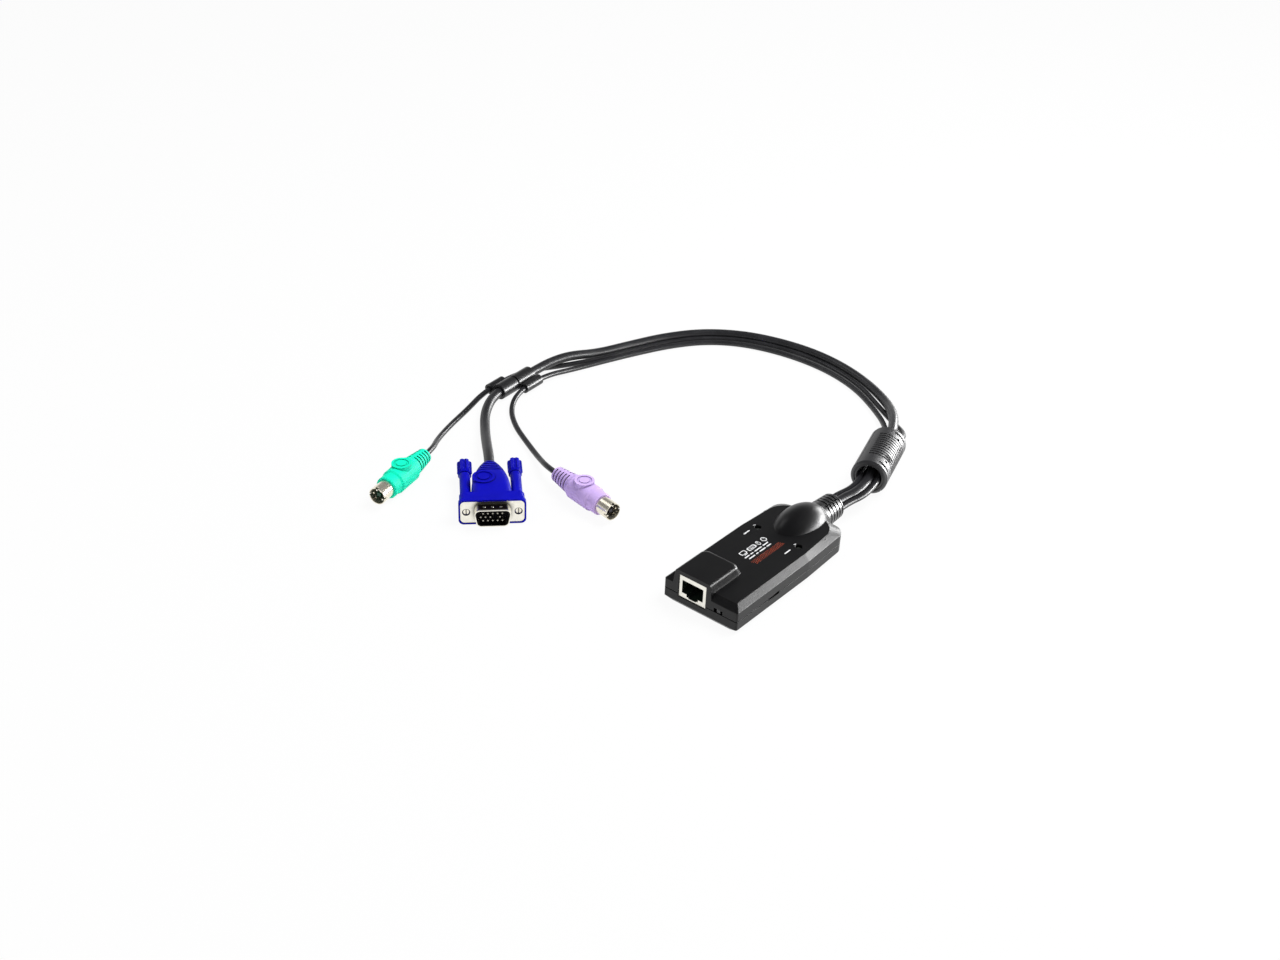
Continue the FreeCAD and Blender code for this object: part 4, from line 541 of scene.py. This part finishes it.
@dataclass(frozen=True)
class BoardMask(Finish):
    """Solder mask over copper tracks: paler lines where the copper lies under it."""

    TRACK = {"Scale": 260.0, "Distortion": 3.0, "Detail": 2.0, "Detail Scale": 0.4}
    TRACK_RANGE = (0.72, 0.80)
    TRACK_DEPTH = 0.00002
    FILM = Cloud(0.002)
    FILM_HAZE = 0.08

    copper: Colour = (0.05, 0.30, 0.12)

    def paint(self, coating: Coating) -> None:
        """Gives the shader its colour, roughness and normal.

        Args:
            coating: the material's nodes.
        """
        bands = coating.node("ShaderNodeTexWave", {"bands_direction": "Y", "wave_profile": "SIN"},
                             {"Vector": coating.place(), **self.TRACK})
        track = coating.range(Amount(coating, bands.outputs[1]), *self.TRACK_RANGE)
        coating.lay(Base_Color=coating.blend(track, self.colour, self.copper),
                    Roughness=self.roughness + self.FILM_HAZE * coating.noise(self.FILM),
                    Normal=coating.relief(track, self.TRACK_DEPTH))


@dataclass(frozen=True)
class LampLens(Finish):
    """Cast epoxy lens: clear smoky colour with a frosted heart."""

    HEART = Cloud(0.0006)
    HEART_SHADE = 2.2
    HEART_HAZE = 0.05

    def paint(self, coating: Coating) -> None:
        """Gives the shader its colour and roughness.

        Args:
            coating: the material's nodes.
        """
        heart = coating.noise(self.HEART)
        coating.lay(Base_Color=coating.blend(heart, self.colour, shade(self.colour, self.HEART_SHADE)),
                    Roughness=self.roughness + self.HEART_HAZE * heart)


@dataclass(frozen=True)
class Ink(Finish):
    """Pad-printed ink: slightly uneven cover with pinholes on the plastic's grain."""

    THIN = Cloud(0.00035, 3.0, 0.65)
    THIN_RANGE = (0.66, 0.80)
    THIN_SHARE = 0.5
    DRY = Cloud(0.0005)
    DRY_HAZE = 0.1
    GRAIN = Cloud(0.0002)
    GRAIN_DEPTH = 0.000003

    under: Colour = (0.012, 0.012, 0.013)

    def paint(self, coating: Coating) -> None:
        """Gives the shader its colour, roughness and normal.

        Args:
            coating: the material's nodes.
        """
        thin = coating.range(coating.noise(self.THIN), *self.THIN_RANGE)
        coating.lay(Base_Color=coating.blend(thin * self.THIN_SHARE, self.colour, self.under),
                    Roughness=self.roughness + self.DRY_HAZE * (coating.noise(self.DRY) - 0.5),
                    Normal=coating.relief(coating.noise(self.GRAIN), self.GRAIN_DEPTH))


def dress(finish: Finish, *nodes: str) -> None:
    """Gives pieces of the part one finish.

    Args:
        finish: the finish.
        nodes: the names of the pieces.
    """
    material = finish.material()
    for name in nodes:
        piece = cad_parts[name]
        if not piece.material_slots:
            piece.data.materials.append(material)
        for place in piece.material_slots:
            place.material = material
    LOG.info("%s on %s", finish.name, ", ".join(nodes))


# ---------------------------------------------------------------- surfaces


def surface(name: str, points: np.ndarray, wrap: bool = False, loop: bool = False) -> bpy.types.Object:
    """Makes a mesh from grids of points.

    Each grid has its first parameter down the rows and its second along the columns; neighbouring
    points make four-sided faces. Points that fall together, such as a pole's, become one.

    Args:
        name: the piece's name.
        points: an array of grids, rows, columns and coordinates, in metres.
        wrap: whether the last column joins the first.
        loop: whether the last row joins the first.

    Returns:
        The piece.
    """
    together = 1e-7
    count, rows, columns, _ = points.shape
    index = np.arange(count * rows * columns).reshape(count, rows, columns)
    if wrap:
        index = np.concatenate((index, index[:, :, :1]), axis=2)
    if loop:
        index = np.concatenate((index, index[:, :1]), axis=1)
    faces = np.stack((index[:, :-1, :-1], index[:, :-1, 1:], index[:, 1:, 1:], index[:, 1:, :-1]), axis=-1)
    corners = faces.ravel()
    starts = np.arange(0, corners.size, 4)
    mesh = bpy.data.meshes.new(name)
    mesh.vertices.add(points.size // 3)
    mesh.vertices.foreach_set("co", points.astype(np.float32).ravel())
    mesh.loops.add(len(corners))
    mesh.loops.foreach_set("vertex_index", corners.astype(np.int32))
    mesh.polygons.add(len(starts))
    mesh.polygons.foreach_set("loop_start", starts.astype(np.int32))
    mesh.polygons.foreach_set("use_smooth", np.ones(len(starts), bool))
    mesh.update(calc_edges=True)
    shape = bmesh.new()
    shape.from_mesh(mesh)
    bmesh.ops.remove_doubles(shape, verts=shape.verts, dist=together)
    shape.to_mesh(mesh)
    shape.free()
    piece = bpy.data.objects.new(name, mesh)
    bpy.context.collection.objects.link(piece)
    return piece


@dataclass(frozen=True)
class Mark:
    """One printed mark: its middle, half sizes, turn and cut of corners, in millimetres and degrees.

    hollow is the share of the mark, from its middle, that is left bare.
    """

    x: float
    y: float
    half_x: float
    half_y: float
    turn: float = 0.0
    rim: Rim = Rim.SOFT
    hollow: float = 0.0


@dataclass(frozen=True)
class Print:
    """Printed marks on a level face: the ink's section, its thickness and its gap, in millimetres.

    SHARE and LIFT hold the section: up at the rim, in over the top and down at the bare share.
    """

    SHARE = (1.0, 1.0, 0.96, 0.5, 0.04, 0.0, 0.0)
    LIFT = (0.0, 0.7, 1.0, 1.0, 1.0, 0.7, 0.0)
    STEPS = 24

    height: float
    thickness: float = 0.02
    gap: float = 0.002

    @staticmethod
    def _each(values: Sequence[float]) -> np.ndarray:
        """One value for each mark, over all its rows and columns."""
        return np.array(values)[:, None, None]

    def lay(self, name: str, marks: Sequence[Mark]) -> bpy.types.Object:
        """Lays the marks.

        A mark is a stretched disc. At turn t and reach s, from its bare share to 1 at the rim, its
        point is the middle plus s times (half_x times cos t to the power 2/n, half_y times sin t to
        the power 2/n), signs kept, with n the cut of its corners. The section closes under the mark.

        Args:
            name: the piece's name.
            marks: the marks.

        Returns:
            The piece.
        """
        around = np.linspace(0.0, 2.0 * np.pi, self.STEPS, endpoint=False)[None, None, :]
        inner = self._each([mark.hollow for mark in marks])
        reach = inner + (1.0 - inner) * np.array(self.SHARE)[None, :, None]
        power = 2.0 / self._each([mark.rim.value for mark in marks])
        turn = np.radians(self._each([mark.turn for mark in marks]))
        across, along = (
            reach * self._each(half) * np.sign(wave) * np.abs(wave) ** power
            for half, wave in (([mark.half_x for mark in marks], np.cos(around)),
                               ([mark.half_y for mark in marks], np.sin(around))))
        x = self._each([mark.x for mark in marks]) + across * np.cos(turn) - along * np.sin(turn)
        y = self._each([mark.y for mark in marks]) + across * np.sin(turn) + along * np.cos(turn)
        lift = self.thickness * np.array(self.LIFT)[None, :, None]
        z = self.height + self.gap + lift + np.zeros_like(x)
        return surface(name, np.stack((x, y, z), axis=-1) * MM, wrap=True, loop=True)


# ---------------------------------------------------------------- camera and studio


@dataclass(frozen=True)
class Viewpoint:
    """The camera: where it stands and looks, its tilt and its lens, in millimetres and degrees."""

    NEAREST, FARTHEST = 0.01, 20.0

    stand: Point = (354.8, -550.5, 456.3)
    aim: Point = (-91.6, 16.7, 0.0)
    roll: float = 2.61
    lens: float = 47.8
    sensor: float = 36.0

    def build(self) -> None:
        """Makes the camera and looks through it."""
        data = bpy.data.cameras.new("camera")
        data.lens = self.lens
        data.sensor_width = self.sensor
        data.clip_start = self.NEAREST
        data.clip_end = self.FARTHEST
        camera = bpy.data.objects.new("camera", data)
        bpy.context.collection.objects.link(camera)
        ahead = (Vector(self.aim) - Vector(self.stand)).normalized()
        right = ahead.cross(Vector((0.0, 0.0, 1.0))).normalized()
        up = right.cross(ahead)
        roll = math.radians(self.roll)
        level = right * math.cos(roll) + up * math.sin(roll)
        rise = up * math.cos(roll) - right * math.sin(roll)
        turn = Matrix((level, rise, -ahead)).transposed()
        camera.matrix_world = Matrix.Translation(Vector(self.stand) * MM) @ turn.to_4x4()
        bpy.context.scene.camera = camera


@dataclass(frozen=True)
class Softbox:
    """One area lamp: the way it comes from, its distance and size in metres, and its power."""

    name: str
    way: Point
    distance: float
    wide: float
    tall: float
    power: float
    purpose: Purpose

    def hang(self, middle: Point) -> None:
        """Hangs the lamp so that it faces the middle.

        Args:
            middle: what it faces, in metres.
        """
        data = bpy.data.lights.new(self.name, "AREA")
        data.shape = "RECTANGLE"
        data.size = self.wide
        data.size_y = self.tall
        data.energy = self.power
        lamp = bpy.data.objects.new(self.name, data)
        lamp.visible_glossy = self.purpose is Purpose.GLOSS
        lamp.visible_diffuse = self.purpose is Purpose.COLOUR
        bpy.context.collection.objects.link(lamp)
        way = Vector(self.way).normalized()
        lamp.location = Vector(middle) + way * self.distance
        lamp.rotation_mode = "QUATERNION"
        lamp.rotation_quaternion = (-way).to_track_quat("-Z", "Y")


@dataclass(frozen=True)
class Studio:
    """White floor and surround with a dark ceiling, and soft lamps."""

    RINGS = (3.0, 1.4, 0.6, 0.25, 0.001)
    STEPS = 64
    FLOOR_LEVEL = -0.0003
    FLOOR_GREY = (0.86, 0.86, 0.86)
    CEILING_RANGE = (0.12, 0.40)

    middle: Point = (-0.09, 0.03, 0.0)
    ambient: float = 0.20
    ceiling: float = 0.14
    floor_white: float = 0.94
    lamps: tuple[Softbox, ...] = (
        Softbox("key_colour", (0.30, 0.35, 0.88), 1.1, 0.7, 0.6, 14.0, Purpose.COLOUR),
        Softbox("fill_colour", (-0.25, -0.75, 0.70), 1.2, 0.9, 0.7, 3.0, Purpose.COLOUR),
        Softbox("side_gloss", (0.66, 0.66, 0.14), 1.0, 0.9, 0.25, 19.0, Purpose.GLOSS),
        Softbox("rim_gloss", (-0.68, 0.05, 0.72), 1.0, 0.4, 0.3, 0.7, Purpose.GLOSS),
        Softbox("low_gloss", (0.26, 0.93, 0.16), 1.1, 0.9, 0.32, 15.0, Purpose.GLOSS),
    )

    def build(self) -> None:
        """Makes the floor, the surround and the lamps."""
        self._floor()
        self._surround()
        for lamp in self.lamps:
            lamp.hang(self.middle)

    def _floor(self) -> None:
        """A round floor: rings of shrinking radius times the cosine and sine of the turn."""
        ring = np.array(self.RINGS)[None, :, None]
        turn = np.linspace(0.0, 2.0 * np.pi, self.STEPS, endpoint=False)[None, None, :]
        x = self.middle[0] + ring * np.cos(turn)
        y = self.middle[1] + ring * np.sin(turn)
        floor = surface("floor", np.stack((x, y, np.full_like(x, self.FLOOR_LEVEL)), axis=-1), wrap=True)
        material = bpy.data.materials.new("floor_white")
        recipe = Recipe(material, "ShaderNodeOutputMaterial")
        camera, mirrored, through = recipe.rays("Camera", "Glossy", "Transmission")
        plain = recipe.node("ShaderNodeBsdfDiffuse", {}, {"Color": self.FLOOR_GREY})
        bright = recipe.node("ShaderNodeEmission", {}, {"Color": WHITE, "Strength": 1.0})
        recipe.show(recipe.node("ShaderNodeMixShader", {}, {
            0: (camera + mirrored + through) * self.floor_white, 1: plain.outputs[0], 2: bright.outputs[0]}))
        floor.data.materials.append(material)

    def _surround(self) -> None:
        """White to the eye, white near the horizon and dark overhead in reflections, plain otherwise."""
        world = bpy.data.worlds.new("surround")
        bpy.context.scene.world = world
        recipe = Recipe(world, "ShaderNodeOutputWorld")
        camera, mirrored = recipe.rays("Camera", "Glossy")
        height = recipe.parts(recipe.node("ShaderNodeTexCoord").outputs["Generated"])[2]
        reflected = 1.0 - recipe.range(height, *self.CEILING_RANGE) * (1.0 - self.ceiling)
        strength = camera + (1.0 - camera) * (mirrored * reflected + (1.0 - mirrored) * self.ambient)
        recipe.show(recipe.node("ShaderNodeBackground", {}, {"Color": WHITE, "Strength": strength}))


# ---------------------------------------------------------------- cords

VIDEO_ROUTE: list[Point] = [
    (0.0, 52.5, 8.4), (0.0, 60.0, 8.4), (2.3, 70.5, 8.7), (1.4, 80.0, 9.2), (-2.4, 90.7, 9.4),
    (-6.2, 103.0, 9.5), (-10.7, 117.2, 9.4), (-16.0, 131.5, 9.2), (-26.0, 149.0, 7.6), (-40.0, 164.6, 3.6),
    (-58.5, 176.0, 2.6), (-79.0, 183.2, 2.6), (-101.0, 186.0, 2.6), (-124.0, 183.3, 2.6),
    (-146.0, 175.6, 2.6), (-164.5, 161.2, 2.6), (-177.0, 141.5, 2.6), (-185.3, 119.5, 2.6),
    (-191.8, 99.5, 2.9), (-197.3, 83.0, 5.9), (-200.2, 70.5, 5.9), (-201.8, 58.6, 4.4),
    (-200.4, 40.7, 4.3), (-199.1, 22.7, 4.3), (-191.6, 8.5, 2.8), (-178.5, -5.0, 2.6),
    (-164.5, -18.0, 5.2), (-154.96, -26.44, 6.8), (-147.09, -34.1, 6.8),
]
KEYBOARD_ROUTE: list[Point] = [
    (-4.3, 52.5, 8.4), (-4.3, 60.5, 8.4), (-2.0, 70.8, 8.6), (-2.8, 79.1, 9.2), (-6.3, 89.3, 8.9),
    (-9.7, 101.9, 6.6), (-12.4, 116.7, 5.1), (-18.2, 130.6, 4.4), (-29.0, 145.6, 2.4),
    (-44.0, 157.5, 1.6), (-61.9, 168.4, 1.45), (-81.1, 174.5, 1.45), (-101.0, 176.3, 1.45),
    (-121.8, 173.9, 1.45), (-141.5, 167.3, 1.45), (-157.7, 155.0, 1.45), (-169.0, 137.5, 1.45),
    (-177.6, 116.8, 1.45), (-184.6, 97.1, 1.45), (-190.6, 79.0, 1.45), (-194.9, 59.1, 3.5),
    (-193.2, 36.2, 3.5), (-186.2, 22.5, 1.45), (-172.5, 11.2, 1.45), (-156.0, 2.8, 1.45),
    (-140.5, -5.2, 2.4), (-126.76, -13.62, 6.4), (-118.89, -14.98, 6.4),
]
MOUSE_ROUTE: list[Point] = [
    (4.3, 52.5, 8.4), (4.3, 59.5, 8.4), (6.6, 70.2, 8.6), (5.6, 80.9, 9.2), (1.8, 92.0, 9.4),
    (-2.1, 104.3, 9.5), (-6.6, 118.5, 9.3), (-9.5, 130.2, 8.0), (-14.8, 142.0, 3.8),
    (-25.6, 150.7, 1.5), (-38.9, 158.7, 1.45), (-60.3, 172.2, 1.45), (-80.0, 179.0, 1.45),
    (-101.0, 181.7, 1.45), (-123.0, 179.1, 1.45), (-143.9, 171.8, 1.45), (-161.3, 158.3, 1.45),
    (-173.2, 139.6, 1.45), (-181.2, 118.1, 1.45), (-187.6, 98.1, 1.45), (-197.6, 77.8, 1.45),
    (-206.8, 61.5, 1.8), (-207.7, 43.5, 3.5), (-206.0, 22.2, 3.5), (-202.2, 6.5, 1.45),
    (-197.0, -12.0, 1.45), (-190.0, -28.3, 2.8), (-181.15, -39.99, 6.4), (-179.23, -47.74, 6.4),
]


@dataclass(frozen=True)
class Lead:
    """One cord: the node it stands for, its route, thickness and length, and what is on it; the length and
    what is on it are not used.
    """

    ROUND_STEPS = 6
    LONG_STEPS = 12

    node: str
    route: Sequence[Point]
    diameter: float
    length: float
    finish: Jacket
    carries: tuple[str, ...]

    def build(self) -> None:
        """Makes the cord as one smooth spline with a round section."""
        curve = bpy.data.curves.new(self.node + "_jacket", "CURVE")
        curve.dimensions = "3D"
        curve.bevel_depth = self.diameter / 2.0 * MM
        curve.bevel_resolution = self.ROUND_STEPS
        curve.resolution_u = self.LONG_STEPS
        curve.use_fill_caps = True
        spline = curve.splines.new("NURBS")
        spline.points.add(len(self.route) - 1)
        places = np.hstack((np.array(self.route) * MM, np.ones((len(self.route), 1))))
        spline.points.foreach_set("co", places.ravel())
        spline.order_u = 3
        spline.use_endpoint_u = True
        cord = bpy.data.objects.new(self.node + "_jacket", curve)
        bpy.context.collection.objects.link(cord)
        curve.materials.append(self.finish.material())
        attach(cord, ADAPTER)
        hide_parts(self.node)
        [part * MM for part in self.route[0]]
        self.diameter * MM


@dataclass(frozen=True)
class CordSet:
    """The three cords: the thick video cord in the middle, and the two thin ones beside it."""

    THICK, THIN = 5.2, 2.9
    ON_VIDEO = ("ferrite_case_upper", "ferrite_case_lower", "ferrite_core_upper", "ferrite_core_lower",
                "cord_clip", "vga_hood", "vga_shell", "vga_insulator", "vga_pins",
                "left_thumbscrew", "left_screw", "right_thumbscrew", "right_screw")
    PLUG_PARTS = ("plug_body", "plug_shell", "plug_insulator", "plug_pins")

    jacket: Jacket = Jacket("cord_jacket", (0.014, 0.014, 0.016), 0.36)
    thin_jacket: Jacket = Jacket("thin_cord_jacket", (0.014, 0.014, 0.016), 0.34)

    def build(self) -> None:
        """Makes the three cords."""
        Lead("video_cord", VIDEO_ROUTE, self.THICK, 482.0, self.jacket, self.ON_VIDEO).build()
        for plug, route, length in (("keyboard", KEYBOARD_ROUTE, 460.5), ("mouse", MOUSE_ROUTE, 478.5)):
            carries = tuple(f"{plug}_{part}" for part in self.PLUG_PARTS)
            Lead(plug + "_cord", route, self.THIN, length, self.thin_jacket, carries).build()
        LOG.info("three cords")


# ---------------------------------------------------------------- the pieces


@dataclass(frozen=True)
class Module:
    """The housing with what it holds: two shells, board, jack, switch, lamps and the cords' sleeve."""

    DECK = 14.0
    LAMPS_X = (-11.0, 12.4)
    PICTURES = (-3.2, -18.6)
    BARS_START, BARS_SHIFT, BARS_GAP, BAR_HALF = -19.4, 0.9, 0.8, 0.36
    BARS = ((-0.35, (3.6, 2.2, 5.6, 4.2)), (1.45, (4.6, 1.8, 4.8, 3.2)))
    DASH_ROWS, DASH_STEPS = 4, 20
    DASHES_X, DASHES_Y, DASH_HALVES = 3.6, -19.6, (0.12, 0.30)
    ROW_PITCH, ROW_SHIFT, STEP_PITCH = 0.80, 0.35, 1.1

    def build(self) -> None:
        """Dresses the pieces and prints the deck."""
        dress(Moulding("black_case", (0.005, 0.005, 0.0055), 0.33, 0.3, soft_edge=0.0004),
              "top_shell", "bottom_shell")
        # The sleeve's slots take strong painted shade over a short reach.
        dress(Moulding("black_sleeve", (0.008, 0.008, 0.009), 0.30, 0.9, 0.3, grain=0.0003, depth=0.000001,
                       haze=0.05, painted_shade=0.9, reach=0.0005), "strain_relief")
        dress(Plating("black_zinc", (0.06, 0.06, 0.065), 0.4), "housing_screws")
        dress(BoardMask("board_mask", (0.01, 0.16, 0.06), 0.3), "circuit_board")
        dress(Moulding("chip_epoxy", (0.02, 0.02, 0.021), 0.55, 0.4),
              "main_chip", "video_chip", "pulse_transformer")
        dress(Plating("crystal_can", (0.72, 0.72, 0.74), 0.25), "crystal")
        dress(Plating("capacitor_can", (0.50, 0.50, 0.54), 0.3), "capacitors")
        dress(Moulding("header_nylon", (0.74, 0.71, 0.60), 0.45), "cord_headers")
        dress(Moulding("jack_black", (0.010, 0.016, 0.012), 0.3), "jack_body")
        dress(Plating("jack_plate", (0.94, 0.92, 0.84), 0.34), "jack_shield")
        dress(Plating("contact_gold", (0.85, 0.60, 0.22), 0.2), "jack_contacts")
        dress(Moulding("switch_black", (0.012, 0.012, 0.012), 0.4), "switch_body")
        dress(Moulding("knob_grey", (0.05, 0.05, 0.052), 0.42), "switch_knob")
        dress(LampLens("lens_smoke", (0.020, 0.024, 0.020), 0.18), "online_lamp", "power_lamp")
        self._print()

    def _print(self) -> None:
        """Prints the deck: pictures, rows of bars and dashes, and a wedge and a bar beside each lamp."""
        white = [mark for lamp_x in self.LAMPS_X for mark in (
            Mark(lamp_x - 2.4, 5.5, 0.75, 0.28, 62.0, Rim.ROUND), Mark(lamp_x - 1.4, -1.8, 0.34, 2.3))]
        white += self._pictures(*self.PICTURES)
        for row, (x, bars) in enumerate(self.BARS):
            start = self.BARS_START + self.BARS_SHIFT * row
            for length in bars:
                white.append(Mark(x, start + length / 2.0, self.BAR_HALF, length / 2.0))
                start += length + self.BARS_GAP
        dashes = [
            Mark(self.DASHES_X + self.ROW_PITCH * row,
                 self.DASHES_Y + self.STEP_PITCH * step + self.ROW_SHIFT * row, *self.DASH_HALVES)
            for row in range(self.DASH_ROWS) for step in range(self.DASH_STEPS)]
        deck = Print(self.DECK)
        for name, marks, ink in (("deck_marks", white, Ink("white_ink", (0.78, 0.79, 0.80), 0.45)),
                                 ("deck_dashes", dashes, Ink("orange_ink", (0.62, 0.09, 0.03), 0.45))):
            piece = deck.lay(name, marks)
            piece.data.materials.append(ink.material())
            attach(piece, ADAPTER)
        LOG.info("deck print")

    @staticmethod
    def _pictures(x: float, start: float) -> list[Mark]:
        """Plain pictures of a screen, a keyboard, a mouse and a round socket, in a row.

        Args:
            x: the row's middle, in millimetres.
            start: where the row starts, in millimetres.

        Returns:
            The marks.
        """
        screen, board, mouse, socket = (start + step for step in (2.1, 8.2, 13.3, 17.6))
        marks = [Mark(x - 0.35, screen, 1.3, 2.1, hollow=0.72), Mark(x + 1.4, screen, 0.25, 1.2)]
        marks.append(Mark(x, board, 1.25, 2.9, hollow=0.74))
        marks += [Mark(x - 0.35, board + 0.8 * step, 0.2, 0.24) for step in (-2, -1, 0, 1, 2)]
        marks.append(Mark(x + 0.4, board, 0.2, 1.4))
        marks.append(Mark(x, mouse, 1.6, 1.05, rim=Rim.ROUND, hollow=0.68))
        marks.append(Mark(x - 0.5, mouse, 0.5, 0.16))
        marks.append(Mark(x, socket, 1.6, 1.6, rim=Rim.ROUND, hollow=0.74))
        marks += [Mark(x + 0.6 * side, socket + 0.5 * step, 0.2, 0.2, rim=Rim.ROUND)
                  for side in (-1, 1) for step in (-1, 1)]
        return marks


@dataclass(frozen=True)
class Ferrite:
    """The filter, two half cases clipped round two half cores, and the cords' clip."""

    def build(self) -> None:
        """Dresses the pieces."""
        # The case's ribs and slots take strong painted shade over a short reach.
        dress(Moulding("filter_nylon", (0.012, 0.012, 0.014), 0.44, 0.9, grain=0.0003, depth=0.0000003,
                       haze=0.05, painted_shade=0.8, reach=0.0007), "ferrite_case_upper", "ferrite_case_lower")
        dress(Sintered("ferrite_ceramic", (0.035, 0.035, 0.037), 0.6),
              "ferrite_core_upper", "ferrite_core_lower")
        dress(Moulding("clip_black", (0.012, 0.012, 0.013), 0.34), "cord_clip")


@dataclass(frozen=True)
class VideoPlug:
    """The blue plug: hood, plated shell, insulator, pins and two thumbscrews.

    START, in millimetres, and TURN, in degrees, are where the plate's face lies; SKIRT_DEPTH, in
    metres, is how far the shell stands in front of it.
    """

    START, TURN = (-118.4, -62.0, 6.8), 45.8
    SKIRT_DEPTH = 0.006

    def build(self) -> None:
        """Dresses the pieces."""
        # The hood's ribs and gaps take strong painted shade.
        dress(Moulding("plug_blue", (0.002, 0.0025, 0.44), 0.44, 0.08, grain=0.00026, depth=0.000003,
                       painted_shade=0.85, reach=0.003), "vga_hood", "left_thumbscrew", "right_thumbscrew")
        # The plate takes strong painted shade in its hollows and a painted dark reflection on the shell's
        # upward faces.
        dress(Plating("video_plate", (0.95, 0.92, 0.82), 0.28, painted_shade=0.9, reach=0.0028,
                      painted_dark_reflection=PaintedDarkReflection(self.START, self.TURN, self.SKIRT_DEPTH)), "vga_shell")
        dress(Moulding("insert_black", (0.003, 0.003, 0.006), 0.6, 0.15), "vga_insulator")
        dress(Plating("pin_plate", (0.40, 0.38, 0.32), 0.35), "vga_pins")
        dress(Plating("screw_plate", (0.92, 0.88, 0.76), 0.2), "left_screw", "right_screw")


@dataclass(frozen=True)
class RoundPlug:
    """A round plug: moulded grip, plated shell, insulator and pins."""

    name: str
    grip: Colour
    insert: Colour

    def build(self) -> None:
        """Dresses the pieces."""
        dress(Moulding(self.name + "_grip", self.grip, 0.62, 0.16, grain=0.00026, depth=0.0000008,
                       cloud=0.06), self.name + "_plug_body")
        dress(Plating(self.name + "_plate", (0.95, 0.89, 0.74), 0.22, metal=0.85), self.name + "_plug_shell")
        dress(Moulding(self.name + "_insert", self.insert, 0.4), self.name + "_plug_insulator")
        dress(Plating(self.name + "_pin_plate", (0.92, 0.88, 0.76), 0.2), self.name + "_plug_pins")


def main() -> None:
    """Builds the camera, the cords, the pieces' looks and the studio, in that order."""
    logging.basicConfig(level=logging.INFO, format="%(name)s: %(message)s")
    bpy.context.scene.view_settings.view_transform = "Standard"
    keyboard = RoundPlug("keyboard", (0.66, 0.48, 0.91), (0.012, 0.009, 0.013))
    mouse = RoundPlug("mouse", (0.004, 0.95, 0.59), (0.0, 0.05, 0.022))
    for thing in (Viewpoint(), CordSet(), Module(), Ferrite(), VideoPlug(), keyboard, mouse, Studio()):
        thing.build()


if __name__ == "__main__":
    main()
